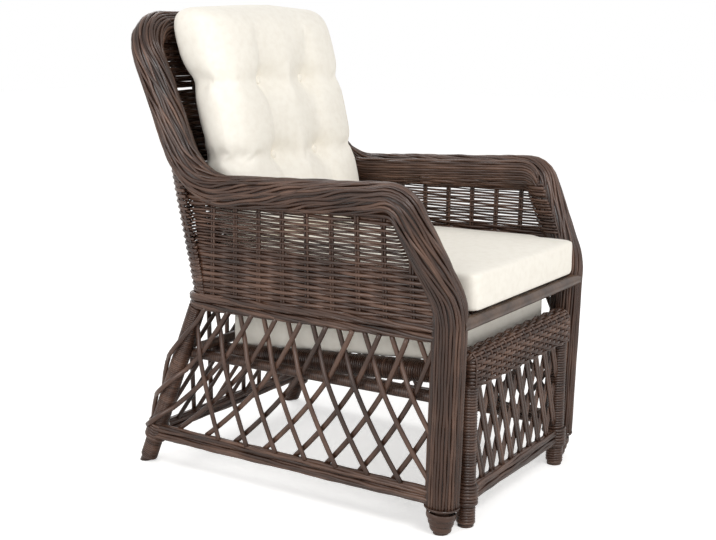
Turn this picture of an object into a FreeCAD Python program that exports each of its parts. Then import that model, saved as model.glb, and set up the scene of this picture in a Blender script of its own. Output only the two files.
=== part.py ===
import FreeCAD, Part
import math
import os

os.makedirs("parts", exist_ok=True)
Vec = FreeCAD.Vector

# Frame of the part: millimetres, X to the sitter's left, front of the chair at -Y, floor at Z 0.

# Fits
SLEEVE_FIT = 0.3
SLIDE_FIT = 0.5
CUSHION_FIT = 1.0

# Front legs and the rolled border that runs up the leg, along the arm and over the back
LEG_X = 260.0
LEG_Y = -350.0
LEG_POLE_R = 15.0
LEG_POLE_TOP_Z = 409.0
BORDER_R = 33.0
BORDER_CANES = 16
CANE_GROOVE = 3.5
KNEE_Y = -363.0
KNEE_Z = 441.0
KNEE_BEND = 90.0
ARM_FRONT_X = 290.0
ARM_FRONT_Y = -276.0
ARM_FRONT_Z = 626.0
ARM_FRONT_BEND = 42.0
ARM_REAR_X = 262.0
ARM_REAR_Y = 233.0
ARM_REAR_Z = 606.0
ARM_REAR_BEND = 135.0
TOP_Y = 367.0
TOP_Z = 930.0
TOP_BEND = 65.0
FOOT_TOP_Z = 50.0
FOOT_TIP_R = 19.5
FOOT_TIP_Z = 2.0
BAND_RING_H = 9.0
BAND_RING_OUT = 1.5

# Rear legs
REAR_X = 265.0
REAR_FOOT_Y = 388.0
REAR_TOP_Y = 222.0
REAR_TOP_Z = 385.0
REAR_POLE_R = 15.0
REAR_WRAP_R = 18.5
REAR_STUB_Z = 10.0

# Seat frame
SEAT_Z = 404.0
SEAT_POLE_R = 13.0
SEAT_FRONT_Y = -383.0
SEAT_REAR_Y = 203.0
SEAT_REAR_END = 262.0
SEAT_SIDE_X = 246.0
SLAT_R = 9.0
SLAT_COUNT = 7
SLAT_PITCH = 56.0

# Woven shell
WEAVE_T = 6.0
SKIRT_X = 276.0
WEAVE_BASE_Z = 393.0
WAIST_Z = 459.0
LEAN_Z = 800.0
CORNER_R = 50.0
CORNER_FLATS = 4
BACK_BASE_Y = 250.0
BACK_WAIST_Y = 262.0
BACK_LEAN_Y = 350.0
BACK_HEAD_Y = 364.0
BACK_POST_R = 12.0
BACK_POST_X = 244.0
BACK_POST_Y = 213.0
BACK_POST_HEAD_Y = 245.0
BACK_POST_HEAD_Z = 649.0
STAKE_FIRST_Y = -295.0
STAKE_PITCH = 59.4
STAKE_COUNT = 9
STAKE_W = 14.0
STAKE_OUT = 3.0
STAKE_SINK = 1.5
STAKES_IN_LEG = 2
SLIT_H = 4.5
SLIT_GAP = 9.0
ARM_SLIT_ZS = (557.0, 543.0, 529.0)
BACK_SLIT_ZS = (854.0, 834.0, 709.0, 689.0)

# Waist band, bottom rails and lattice skirt
ROPE_R = 9.4
ROPE_PITCH = 19.0
BAND_Z = 379.0
BAND_RISE = 10.0
RAIL_Z = 76.0
STRAND_W = 11.5
STRAND_T = 4.5
STRAND_BOW = 0.385
FORWARD_FIRST_END = -496.0
FORWARD_END_PITCH = 74.0
BACKWARD_FIRST_END = -97.0
BACKWARD_END_PITCH = 77.0
REAR_STRAND_SHIFT = 150.0
BINDING_R = 25.0
BINDING_H = 42.0

# Runners that carry the rear of the footrest
RUNNER_X = 250.0
RUNNER_Z = 259.0
RUNNER_R = 11.0
RUNNER_BACK_OFF = 10.0

# Footrest
FR_LEG_X = 203.0
FR_LEG_Y = -372.0
FR_POLE_R = 15.5
FR_WRAP_R = 18.0
FR_STUB_Z = 4.0
FR_RAIL_Z = 65.0
FR_BINDING_R = 24.0
FR_PANEL_Y = -376.0
APRON_BASE_Z = 277.0
APRON_TOP_Z = 349.0
APRON_FRONT_Y = -396.0
APRON_REAR_Y = -348.0
APRON_T = 5.0
APRON_HALF = 221.0
FR_RAIL_R = 12.0
FR_FRONT_RAIL_Z = 315.0
SIDE_RAIL_X = 200.0
SIDE_CORE_R = 16.0
SIDE_WRAP_R = 22.0
SIDE_FRONT_Z = 297.4
SIDE_SLOPE = 0.074
SIDE_END_Y = 238.0
CROSSBAR_Y = 221.0
CROSSBAR_R = 11.0
CROSSBAR_HALF = 262.0
FR_SLAT_R = 8.0
FR_SLAT_YS = (-300.0, -200.0, -100.0, 0.0, 100.0, 185.0)
FR_STRAND_W = 14.0
FR_STRAND_T = 4.0
FR_STRAND_PITCH = 42.0
FR_STRAND_PAIRS = 8
FR_STRAND_SHIFT = 84.0

# Cushions
SEAT_CUSHION_FRONT_Y = -397.0
SEAT_CUSHION_REAR_Y = 222.0
SEAT_CUSHION_NECK_HALF = 224.0
SEAT_CUSHION_NECK_Y = -316.0
SEAT_CUSHION_SHOULDER_Y = -296.0
SEAT_CUSHION_SHOULDER_HALF = 243.0
SEAT_CUSHION_REAR_HALF = 226.0
SEAT_CUSHION_NECK_BEND = 8.0
SEAT_CUSHION_SHOULDER_BEND = 20.0
SEAT_CUSHION_T = 74.0
BACK_CUSHION_HALF = 222.0
BACK_CUSHION_BASE_T = 124.0
BACK_CUSHION_TOP_T = 132.0
BACK_CUSHION_TOP_Z = 977.0
BACK_CUSHION_BASE_Y = 231.0
BACK_CUSHION_TOP_Y = 348.0
CUSHION_CORNER = 40.0
CUSHION_EDGE = 14.0
BUTTON_X = 75.0
BUTTON_SHARES = (0.36, 0.68)
BACK_CUSHION_LEVELS = (0.0, 0.03, 0.1, 0.2, 0.29, 0.43, 0.52, 0.61, 0.75, 0.85, 0.93, 0.98, 1.0)
BACK_CUSHION_FRONT_XS = (0.0, 40.0, BUTTON_X, 110.0, 155.0, 196.0)
BACK_CUSHION_REAR_XS = (50.0, 155.0, 196.0)
SWELL_POWER = 5.0
SWELL_ROUND = 2.6
END_POWER = 8.0
END_FULL = 0.5
END_NIP = 0.3
CREASE_DEPTH = 9.0
CREASE_REACH = 45.0
TUFT_DEPTH = 17.0
TUFT_REACH = 48.0
BUTTON_R = 9.0
BUTTON_T = 7.0
BUTTON_SINK = 2.0
FR_CUSHION_FRONT_Y = -343.0
FR_CUSHION_REAR_Y = 203.0
FR_CUSHION_HALF = 196.0
FR_CUSHION_T = 68.0

# Worked out from the driving sizes
REAR_SLOPE = (REAR_FOOT_Y - REAR_TOP_Y) / REAR_TOP_Z
REAR_TILT = math.atan(REAR_SLOPE)
BACK_SLOPE = (TOP_Y - ARM_REAR_Y) / (TOP_Z - ARM_REAR_Z)
SEAT_TOP_Z = SEAT_Z + SEAT_POLE_R
SEAT_REAR_Z = SEAT_Z - 2 * SEAT_POLE_R
SEAT_CUSHION_TOP_Z = SEAT_TOP_Z + CUSHION_FIT + SEAT_CUSHION_T
CROSSBAR_Z = RUNNER_Z + RUNNER_R + CROSSBAR_R + SLIDE_FIT
LATTICE_TOP_Z = BAND_Z - ROPE_PITCH / 2 - ROPE_R
LATTICE_END_Z = RAIL_Z + ROPE_PITCH / 2 + ROPE_R
APRON_ROLL = (APRON_REAR_Y - APRON_FRONT_Y) / 2
APRON_SPRING_Z = APRON_TOP_Z - APRON_ROLL
FR_LEG_TOP_Z = APRON_SPRING_Z + math.sqrt((APRON_ROLL - APRON_T) ** 2 - FR_POLE_R ** 2)


def arm_x(y):
    """Distance of the arm's centre line from the middle plane at a place along the arm."""
    share = (y - ARM_FRONT_Y) / (ARM_REAR_Y - ARM_FRONT_Y)
    return ARM_FRONT_X + share * (ARM_REAR_X - ARM_FRONT_X)


def leg_y(z):
    """Place of a front leg's centre line at a height: the knee stands a little forwards of the foot."""
    return LEG_Y + (KNEE_Y - LEG_Y) * z / KNEE_Z


def rear_leg_y(z):
    """Place of a rear leg's centre line at a height."""
    return REAR_FOOT_Y - REAR_SLOPE * z


def back_y(z):
    """Middle of the woven back's thickness at a height: upright at the waist, then leaning."""
    if z <= WAIST_Z:
        share = (z - WEAVE_BASE_Z) / (WAIST_Z - WEAVE_BASE_Z)
        return BACK_BASE_Y + share * (BACK_WAIST_Y - BACK_BASE_Y)
    if z <= LEAN_Z:
        share = (z - WAIST_Z) / (LEAN_Z - WAIST_Z)
        return BACK_WAIST_Y + share * (BACK_LEAN_Y - BACK_WAIST_Y)
    return BACK_LEAN_Y + (z - LEAN_Z) / (TOP_Z - LEAN_Z) * (BACK_HEAD_Y - BACK_LEAN_Y)


def side_rail_z(y):
    """Height of a footrest side rail's centre line."""
    return SIDE_FRONT_Z - SIDE_SLOPE * (y - FR_LEG_Y)


def pole(start, end, radius, end_radius=None):
    """Straight round pole, tapered where an end radius is given."""
    axis = end - start
    if end_radius is None or abs(end_radius - radius) < 1e-6:
        return Part.makeCylinder(radius, axis.Length, start, axis)
    return Part.makeCone(radius, end_radius, axis.Length, start, axis)


def sleeve(start, end, radius, bore):
    """Straight tube wrapped round a pole."""
    return pole(start, end, radius).cut(pole(start, end, bore))


def cane_ring(centre, radius, canes):
    """Corners of a level ring with one flat per cane, a flat facing forwards."""
    corners = []
    for i in range(canes):
        turn = 2 * math.pi * (i + 0.5) / canes
        corners.append(centre + Vec(radius * math.cos(turn), radius * math.sin(turn), 0))
    return corners


def ribbed_ring(centre, radius, canes, groove):
    """Corners of a level ring with one rib per cane and a groove between ribs."""
    corners = []
    for i in range(2 * canes):
        turn = math.pi * (i + 0.5) / canes
        reach = radius - groove * (i % 2)
        corners.append(centre + Vec(reach * math.cos(turn), reach * math.sin(turn), 0))
    return corners


def rolled_border(points, bends, radius, canes, groove):
    """Roll of canes that starts nearly upright, one rib per cane, with a round bend at each inner point."""
    section = ribbed_ring(points[0], radius, canes, groove)
    runs = []
    start = points[0]
    for i in range(1, len(points) - 1):
        into = (points[i] - points[i - 1]).normalize()
        out = (points[i + 1] - points[i]).normalize()
        turn = into.getAngle(out)
        reach = bends[i - 1] * math.tan(turn / 2)
        step = points[i] - into * reach - start
        runs.append(Part.Face(loop(section)).extrude(step))
        section = [corner + step for corner in section]
        inward = (out - into * into.dot(out)).normalize()
        centre = start + step + inward * bends[i - 1]
        axis = into.cross(out)
        runs.append(Part.Face(loop(section)).revolve(centre, axis, math.degrees(turn)))
        swing = FreeCAD.Rotation(axis, math.degrees(turn))
        section = [centre + swing.multVec(corner - centre) for corner in section]
        start = points[i] + out * reach
    if (points[-1] - start).Length > 1e-3:
        runs.append(Part.Face(loop(section)).extrude(points[-1] - start))
    return runs[0].fuse(runs[1:]).removeSplitter(), section


def loop(points):
    """Closed wire of straight edges."""
    return Part.makePolygon(list(points) + [points[0]])


def sheet(sections):
    """Sheet through level four-cornered sections, each a list of (x, y, z) corners."""
    return Part.makeLoft([loop([Vec(*corner) for corner in part]) for part in sections], True, True)


def mirrored(shape):
    """The same piece on the sitter's right."""
    return shape.mirror(Vec(0, 0, 0), Vec(1, 0, 0))


def largest(shape):
    """The main solid of a trimmed piece."""
    return max(shape.Solids, key=lambda solid: solid.Volume)


def strand(panel, top, end, bow, width, depth, thickness):
    """Flat cane strand in a panel, from (u, w) top to (u, w) end, bowed sideways, on one side of the panel.

    The panel is (origin, along, up, outward), depth is where its inner face lies along outward.
    """
    origin, along, up, outward = panel
    middle = (top[0] + bow * (end[0] - top[0]), (top[1] + end[1]) / 2)
    edges = []
    for side in (-width / 2, width / 2):
        marks = []
        for u, w in (top, middle, end):
            marks.append(origin + along * (u + side) + up * w + outward * depth)
        if abs(bow - 0.5) < 1e-6:
            edges.append(Part.LineSegment(marks[0], marks[2]).toShape())
        else:
            edges.append(Part.Arc(*marks).toShape())
    first, second = edges
    head = Part.LineSegment(first.firstVertex().Point, second.firstVertex().Point).toShape()
    tail = Part.LineSegment(first.lastVertex().Point, second.lastVertex().Point).toShape()
    outline = Part.Wire(Part.__sortEdges__([first, tail, second, head]))
    return Part.Face(outline).extrude(outward * thickness)


def trimmed(strands, region, neighbours, least):
    """Strands kept inside a region and cut to seat on their neighbours, as one compound."""
    kept = []
    for piece in strands:
        inside = piece.common(region).cut(neighbours)
        kept += [solid for solid in inside.Solids if solid.Volume > least]
    return Part.makeCompound(kept)


def rounded_slab(outline, height, direction, edge):
    """Cushion blank: a rounded outline pulled up, with its top and bottom edges broken."""
    slab = Part.Face(outline).extrude(direction * height)
    rims = []
    for face in slab.Faces:
        normal = face.normalAt(0, 0)
        if abs(abs(normal.dot(direction)) - 1) < 1e-4:
            rims += face.Edges
    return slab.makeChamfer(edge, rims)


def rounded_loop(corners, bends):
    """Closed wire through corners with a round bend of its own at each."""
    edges = []
    count = len(corners)
    exits = []
    for i in range(count):
        radius = bends[i]
        before = (corners[i - 1] - corners[i]).normalize()
        after = (corners[(i + 1) % count] - corners[i]).normalize()
        half = before.getAngle(after) / 2
        reach = radius / math.tan(half)
        middle = (before + after).normalize()
        apex = corners[i] + middle * (radius / math.sin(half) - radius)
        first = corners[i] + before * reach
        last = corners[i] + after * reach
        edges.append(Part.Arc(first, apex, last).toShape())
        exits.append((first, last))
    for i in range(count):
        edges.append(Part.LineSegment(exits[i - 1][1], exits[i][0]).toShape())
    return Part.Wire(Part.__sortEdges__(edges))


pieces = {}


def add(name, *shapes):
    """Keep a piece, or several like solids under one name."""
    pieces[name] = shapes[0] if len(shapes) == 1 else Part.makeCompound(list(shapes))


def add_pair(name, shape):
    """Keep a piece on the sitter's left and its mirror image on the right."""
    add(name + "_left", shape)
    add(name + "_right", mirrored(shape))


# Rolled border
border_points = [
    Vec(LEG_X, leg_y(FOOT_TOP_Z + BAND_RING_H), FOOT_TOP_Z + BAND_RING_H),
    Vec(LEG_X, KNEE_Y, KNEE_Z),
    Vec(ARM_FRONT_X, ARM_FRONT_Y, ARM_FRONT_Z),
    Vec(ARM_REAR_X, ARM_REAR_Y, ARM_REAR_Z),
    Vec(ARM_REAR_X, TOP_Y, TOP_Z),
    Vec(ARM_REAR_X - TOP_BEND, TOP_Y, TOP_Z),
]
border_bends = [KNEE_BEND, ARM_FRONT_BEND, ARM_REAR_BEND, TOP_BEND]
solid_border, top_section = rolled_border(border_points, border_bends, BORDER_R, BORDER_CANES, CANE_GROOVE)
both_borders = [solid_border, mirrored(solid_border)]
top_half = ARM_REAR_X - TOP_BEND
right_half = Part.makeBox(2 * TOP_Z, 2 * TOP_Z, 2 * TOP_Z, Vec(-2 * TOP_Z, -TOP_Z, 0))
top_run = Part.Face(loop(top_section)).extrude(Vec(-top_half - BORDER_R, 0, 0)).cut(right_half)
border_top = top_run.fuse(mirrored(top_run)).removeSplitter()

# Front leg pole inside the border, with its tapered foot wrap and band
floor_half = 2 * REAR_FOOT_Y
floor = Part.makeBox(2 * floor_half, 2 * floor_half, REAR_FOOT_Y, Vec(-floor_half, -floor_half, -REAR_FOOT_Y))
leg_foot = Vec(LEG_X, leg_y(-LEG_POLE_R), -LEG_POLE_R)
leg_head = Vec(LEG_X, leg_y(LEG_POLE_TOP_Z), LEG_POLE_TOP_Z)
leg_pole = pole(leg_foot, leg_head, LEG_POLE_R).cut(floor)
leg_room = pole(leg_foot, leg_head, LEG_POLE_R + SLEEVE_FIT)
foot_tip = cane_ring(Vec(LEG_X, leg_y(FOOT_TIP_Z), FOOT_TIP_Z), FOOT_TIP_R, BORDER_CANES)
foot_top = cane_ring(Vec(LEG_X, leg_y(FOOT_TOP_Z), FOOT_TOP_Z), BORDER_R - BAND_RING_OUT, BORDER_CANES)
foot_full = Part.makeLoft([loop(foot_tip), loop(foot_top)], True, True)
ring_base = cane_ring(Vec(LEG_X, leg_y(FOOT_TOP_Z), FOOT_TOP_Z), BORDER_R + BAND_RING_OUT, BORDER_CANES)
ring_full = Part.Face(loop(ring_base)).extrude(Vec(0, 0, BAND_RING_H))
foot = foot_full.cut(leg_room)
ring = ring_full.cut(leg_room)
add_pair("front_leg", leg_pole)
add("front_foot_wraps", foot, mirrored(foot))
add("front_foot_bands", ring, mirrored(ring))
add_pair("border", solid_border.cut(leg_room))
add("border_top", border_top)


# Rear legs: a pole, its wrap and the binding of the bottom rails
def rear_leg_point(z):
    """Point on the left rear leg's centre line."""
    return Vec(REAR_X, rear_leg_y(z), z)


rear_axis = Vec(0, -math.sin(REAR_TILT), math.cos(REAR_TILT))
rear_pole = pole(rear_leg_point(-REAR_POLE_R), rear_leg_point(REAR_TOP_Z), REAR_POLE_R).cut(floor)
rear_room = pole(rear_leg_point(-REAR_POLE_R), rear_leg_point(REAR_TOP_Z), REAR_POLE_R + SLEEVE_FIT)
rear_full = pole(rear_leg_point(REAR_STUB_Z), rear_leg_point(REAR_TOP_Z), REAR_WRAP_R)
rear_trim = pole(rear_leg_point(REAR_STUB_Z), rear_leg_point(SEAT_Z), REAR_WRAP_R)
tie_low = rear_leg_point(RAIL_Z) - rear_axis * (BINDING_H / 2)
tie_high = rear_leg_point(RAIL_Z) + rear_axis * (BINDING_H / 2)
tie_full = pole(tie_low, tie_high, BINDING_R)
tie = sleeve(tie_low, tie_high, BINDING_R, REAR_WRAP_R + SLEEVE_FIT)
add_pair("rear_leg", rear_pole)
add_pair("rear_leg_wrap", rear_full.cut(rear_room))
add("rear_rail_bindings", tie, mirrored(tie))

# Seat frame: the side rails rest on the rear rail, which is notched over the rear legs
seat_front = pole(Vec(-LEG_X, SEAT_FRONT_Y, SEAT_Z), Vec(LEG_X, SEAT_FRONT_Y, SEAT_Z), SEAT_POLE_R)
seat_front = largest(seat_front.cut(both_borders))
rear_end = Vec(SEAT_REAR_END, SEAT_REAR_Y, SEAT_REAR_Z)
seat_rear = pole(Vec(-SEAT_REAR_END, SEAT_REAR_Y, SEAT_REAR_Z), rear_end, SEAT_POLE_R)
seat_rear = largest(seat_rear.cut([rear_full, mirrored(rear_full)]))
seat_side = pole(Vec(SEAT_SIDE_X, LEG_Y, SEAT_Z), Vec(SEAT_SIDE_X, SEAT_REAR_Y, SEAT_Z), SEAT_POLE_R)
seat_side = largest(seat_side.cut(solid_border))
slats = []
for i in range(SLAT_COUNT):
    slat_x = (i - (SLAT_COUNT - 1) / 2) * SLAT_PITCH
    slat_front = Vec(slat_x, SEAT_FRONT_Y + SEAT_POLE_R + SLEEVE_FIT, SEAT_TOP_Z - SLAT_R)
    slat_rear = Vec(slat_x, SEAT_REAR_Y, SEAT_REAR_Z + SEAT_POLE_R + SLAT_R)
    slats.append(pole(slat_front, slat_rear, SLAT_R))
add("seat_front_rail", seat_front)
add("seat_rear_rail", seat_rear)
add_pair("seat_side_rail", seat_side)
add("seat_slats", *slats)

# Back post in each rear corner, standing on the seat's rear rail and holding up the border
post_foot = Vec(BACK_POST_X, BACK_POST_Y, SEAT_REAR_Z)
post_head = Vec(BACK_POST_X, BACK_POST_HEAD_Y, BACK_POST_HEAD_Z)
back_post = pole(post_foot, post_head, BACK_POST_R)
back_post = largest(back_post.cut([solid_border, seat_rear, seat_side, rear_full]))
add_pair("back_post", back_post)

# Waist band of two rope rows: each side from leg to leg, and across the back
side_rows = []
rear_rows = []
for z in (BAND_Z - ROPE_PITCH / 2, BAND_Z + ROPE_PITCH / 2):
    row = pole(Vec(SKIRT_X, LEG_Y, z + BAND_RISE), Vec(SKIRT_X, rear_leg_y(z), z), ROPE_R)
    side_rows.append(largest(row.cut([solid_border, rear_trim])))
    row = pole(Vec(-SKIRT_X, BACK_BASE_Y, z), Vec(SKIRT_X, BACK_BASE_Y, z), ROPE_R)
    rear_rows.append(largest(row.cut([rear_trim, mirrored(rear_trim)])))
add_pair("waist_band", Part.makeCompound(side_rows))
add("waist_band_rear", *rear_rows)

# Bottom rails of two rods: each side from leg to leg, and across the back
side_rods = []
rear_rods = []
for share in (-0.5, 0.5):
    z = RAIL_Z + share * ROPE_PITCH
    rod = pole(Vec(SKIRT_X, LEG_Y, z), Vec(SKIRT_X, rear_leg_y(z), z), ROPE_R)
    side_rods.append(largest(rod.cut([solid_border, ring_full, foot_full, tie_full, rear_full])))
    rod_end = rear_leg_point(RAIL_Z) + rear_axis * (share * ROPE_PITCH)
    rod = pole(Vec(-rod_end.x, rod_end.y, rod_end.z), rod_end, ROPE_R)
    rear_rods.append(largest(rod.cut([tie_full, mirrored(tie_full)])))
add_pair("bottom_rail", Part.makeCompound(side_rods))
add("bottom_rail_rear", *rear_rods)

# Side lattice: at each stake one strand runs down and forwards, one down and backwards
side_panel = (Vec(SKIRT_X, 0, 0), Vec(0, 1, 0), Vec(0, 0, 1), Vec(1, 0, 0))
least_strand = STRAND_W * STRAND_T * STRAND_W
side_strands = []
for i in range(-STAKES_IN_LEG, STAKE_COUNT + 1):
    top = (STAKE_FIRST_Y + STAKE_PITCH * i, WEAVE_BASE_Z)
    forward = (FORWARD_FIRST_END + FORWARD_END_PITCH * i, LATTICE_END_Z)
    backward = (BACKWARD_FIRST_END + BACKWARD_END_PITCH * i, LATTICE_END_Z)
    if i >= 0:
        side_strands.append(strand(side_panel, top, forward, STRAND_BOW, STRAND_W, 0, STRAND_T))
    if i < STAKE_COUNT:
        side_strands.append(strand(side_panel, top, backward, STRAND_BOW, STRAND_W, -STRAND_T, STRAND_T))
side_outline = [
    Vec(SKIRT_X - STRAND_W, LEG_Y, LATTICE_END_Z),
    Vec(SKIRT_X - STRAND_W, rear_leg_y(LATTICE_END_Z), LATTICE_END_Z),
    Vec(SKIRT_X - STRAND_W, rear_leg_y(LATTICE_TOP_Z), LATTICE_TOP_Z),
    Vec(SKIRT_X - STRAND_W, LEG_Y, LATTICE_TOP_Z + BAND_RISE),
]
side_region = Part.Face(loop(side_outline)).extrude(Vec(2 * STRAND_W, 0, 0))
strand_seats = [solid_border, rear_full, tie_full] + side_rows
add_pair("lattice", trimmed(side_strands, side_region, strand_seats, least_strand))

# Rear lattice in the sloping plane of the rear legs
rear_outward = Vec(0, math.cos(REAR_TILT), math.sin(REAR_TILT))
rear_panel = (rear_leg_point(0) - Vec(REAR_X, 0, 0), Vec(1, 0, 0), rear_axis, rear_outward)
rear_strands = []
for i in range(-1, STAKE_COUNT + 1):
    stake_x = (i - (STAKE_COUNT - 1) / 2) * STAKE_PITCH
    top = (stake_x, BAND_Z / math.cos(REAR_TILT))
    for sign, depth in ((1, 0), (-1, -STRAND_T)):
        end = (stake_x + sign * REAR_STRAND_SHIFT, RAIL_Z / math.cos(REAR_TILT))
        rear_strands.append(strand(rear_panel, top, end, 0.5, STRAND_W, depth, STRAND_T))
rear_region = Part.makeBox(2 * REAR_X, REAR_FOOT_Y, REAR_TOP_Z, Vec(-REAR_X, 0, 0))
rear_seats = rear_rows + rear_rods
for shape in (rear_full, tie_full, back_post):
    rear_seats += [shape, mirrored(shape)]
add("lattice_rear", trimmed(rear_strands, rear_region, rear_seats, least_strand))

# Woven arm panel: a slightly twisted sheet with a stake at each lattice pair and open rows
half_t = WEAVE_T / 2
corner_x = SKIRT_X - CORNER_R
corner_y = BACK_BASE_Y - CORNER_R
panel_head_z = ARM_REAR_Z + BORDER_R / 2
panel_head_y = back_y(panel_head_z) - CORNER_R


def arm_strip(foot_span, head_span, inner, outer):
    """Sheet between two places along the arm, at stated distances from the panel's middle."""
    sections = []
    for span, z in ((foot_span, WEAVE_BASE_Z), (head_span, panel_head_z)):
        corners = []
        for y, out in ((span[0], inner), (span[1], inner), (span[1], outer), (span[0], outer)):
            middle_x = SKIRT_X if z == WEAVE_BASE_Z else arm_x(y)
            corners.append((middle_x + out, y, z))
        sections.append(corners)
    return sheet(sections)


arm_panel = arm_strip((LEG_Y, corner_y), (LEG_Y, panel_head_y), -half_t, half_t)
slit_w = STAKE_PITCH - STAKE_W - SLIT_GAP
arm_slits = []
for i in range(STAKE_COUNT):
    stake_y = STAKE_FIRST_Y + STAKE_PITCH * i
    span = (stake_y - STAKE_W / 2, stake_y + STAKE_W / 2)
    arm_panel = arm_panel.fuse(arm_strip(span, span, half_t - STAKE_SINK, half_t + STAKE_OUT))
    slit_y = span[1] + SLIT_GAP / 2
    if slit_y > ARM_FRONT_Y + BORDER_R and slit_y + slit_w < corner_y:
        for z in ARM_SLIT_ZS:
            arm_slits.append(Part.makeBox(2 * CORNER_R, slit_w, SLIT_H, Vec(corner_x, slit_y, z)))
arm_panel = largest(arm_panel.cut(arm_slits + [solid_border] + side_rows))
add_pair("arm_weave", arm_panel)


# Woven rear corner: a quarter round, upright at the waist and then following the lean of the back
def corner_ring(z):
    """Quarter ring face of the rear corner at a height, one flat from stake to stake."""
    centre = Vec(corner_x, back_y(z) - CORNER_R, z)
    inner_marks = []
    outer_marks = []
    for i in range(CORNER_FLATS + 1):
        turn = math.pi / 2 * i / CORNER_FLATS
        ray = Vec(math.cos(turn), math.sin(turn), 0)
        inner_marks.append(centre + ray * (CORNER_R - half_t))
        outer_marks.append(centre + ray * (CORNER_R + half_t))
    return Part.Face(loop(outer_marks + inner_marks[::-1]))


corner_lean = Vec(ARM_REAR_X - SKIRT_X, BACK_LEAN_Y - BACK_WAIST_Y, LEAN_Z - WAIST_Z)
corner_foot = Vec(0, BACK_WAIST_Y - BACK_BASE_Y, WAIST_Z - WEAVE_BASE_Z)
corner = corner_ring(WEAVE_BASE_Z).extrude(corner_foot).fuse(corner_ring(WAIST_Z).extrude(corner_lean))
back_tilt = math.atan(BACK_SLOPE)
bend_reach = ARM_REAR_BEND * math.tan((math.pi / 2 - back_tilt) / 2)
bend_centre = Vec(0, ARM_REAR_Y - bend_reach, ARM_REAR_Z + ARM_REAR_BEND)
under_roll = Vec(0, math.cos(back_tilt), -math.sin(back_tilt))
trim_size = 2 * ARM_REAR_BEND
trim = Part.makeBox(4 * trim_size, trim_size, trim_size, Vec(-2 * trim_size, -trim_size / 2, 0))
trim.Placement = FreeCAD.Placement(
    bend_centre + under_roll * ARM_REAR_BEND,
    FreeCAD.Rotation(Vec(0, 0, 1), under_roll * -1),
)
corner_seats = [trim, solid_border, arm_panel, back_post, rear_full]
corner = largest(corner.cut(corner_seats + side_rows + rear_rows))
add_pair("corner_weave", corner)


# Woven back: narrow between the corners, full width between the borders, with stakes behind
def back_strip(low_x, high_x, taper, levels, inner, outer):
    """Sheet of the back over some heights, at stated distances behind its middle, narrowing by a taper."""
    sections = []
    for z in levels:
        narrow = taper * (z - levels[0]) / (levels[-1] - levels[0])
        y = back_y(z)
        left = high_x - narrow
        right = low_x + narrow
        sections.append(
            [(right, y + inner, z), (left, y + inner, z), (left, y + outer, z), (right, y + outer, z)]
        )
    return sheet(sections)


low_levels = (WEAVE_BASE_Z, WAIST_Z, LEAN_Z)
high_levels = (LEAN_Z, TOP_Z)
back = back_strip(-corner_x, corner_x, SKIRT_X - ARM_REAR_X, low_levels, -half_t, half_t)
back = back.fuse(back_strip(-ARM_REAR_X, ARM_REAR_X, 0, high_levels, -half_t, half_t))
back_slits = []
for i in range(STAKE_COUNT - 2):
    stake_x = (i - (STAKE_COUNT - 3) / 2) * STAKE_PITCH
    low_x = stake_x - STAKE_W / 2
    high_x = stake_x + STAKE_W / 2
    for levels in (low_levels, high_levels):
        back = back.fuse(back_strip(low_x, high_x, 0, levels, half_t - STAKE_SINK, half_t + STAKE_OUT))
    for z in BACK_SLIT_ZS:
        if i > 0:
            slit_x = low_x - SLIT_GAP / 2 - slit_w
            back_slits.append(Part.makeBox(slit_w, TOP_Y, SLIT_H, Vec(slit_x, CORNER_R, z)))
back = back.cut(back_slits + both_borders + [border_top] + rear_rows + [corner, mirrored(corner)])
add("back_weave", largest(back))

# Runners between the front and rear legs
runner_tail = Vec(RUNNER_X, rear_leg_y(RUNNER_Z) - RUNNER_BACK_OFF, RUNNER_Z)
runner = pole(Vec(RUNNER_X, LEG_Y, RUNNER_Z), runner_tail, RUNNER_R)
add_pair("runner", largest(runner.cut([solid_border, rear_full])))

# Footrest legs and front bottom rail
fr_head = Vec(FR_LEG_X, FR_LEG_Y, FR_LEG_TOP_Z)
fr_leg = pole(Vec(FR_LEG_X, FR_LEG_Y, 0), fr_head, FR_POLE_R)
fr_stub = Vec(FR_LEG_X, FR_LEG_Y, FR_STUB_Z)
fr_wrap_top = Vec(FR_LEG_X, FR_LEG_Y, APRON_BASE_Z)
fr_wrap_full = pole(fr_stub, fr_wrap_top, FR_WRAP_R)
fr_tie_low = Vec(FR_LEG_X, FR_LEG_Y, FR_RAIL_Z - BINDING_H / 2)
fr_tie_high = Vec(FR_LEG_X, FR_LEG_Y, FR_RAIL_Z + BINDING_H / 2)
fr_tie_full = pole(fr_tie_low, fr_tie_high, FR_BINDING_R)
fr_tie = sleeve(fr_tie_low, fr_tie_high, FR_BINDING_R, FR_WRAP_R + SLEEVE_FIT)
fr_rods = []
for z in (FR_RAIL_Z - ROPE_PITCH / 2, FR_RAIL_Z + ROPE_PITCH / 2):
    rod = pole(Vec(-FR_LEG_X, FR_PANEL_Y, z), Vec(FR_LEG_X, FR_PANEL_Y, z), ROPE_R)
    fr_rods.append(largest(rod.cut([fr_tie_full, mirrored(fr_tie_full)])))
add_pair("footrest_leg", fr_leg)
add_pair("footrest_leg_wrap", sleeve(fr_stub, fr_wrap_top, FR_WRAP_R, FR_POLE_R + SLEEVE_FIT))
add("footrest_rail_bindings", fr_tie, mirrored(fr_tie))
add("footrest_bottom_rail", *fr_rods)

# Footrest front rail and the woven apron rolled over it
rail_end = Vec(FR_LEG_X, FR_LEG_Y, FR_FRONT_RAIL_Z)
fr_front = pole(Vec(-FR_LEG_X, FR_LEG_Y, FR_FRONT_RAIL_Z), rail_end, FR_RAIL_R)
fr_front = largest(fr_front.cut([fr_leg, mirrored(fr_leg)]))
add("footrest_front_rail", fr_front)


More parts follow.
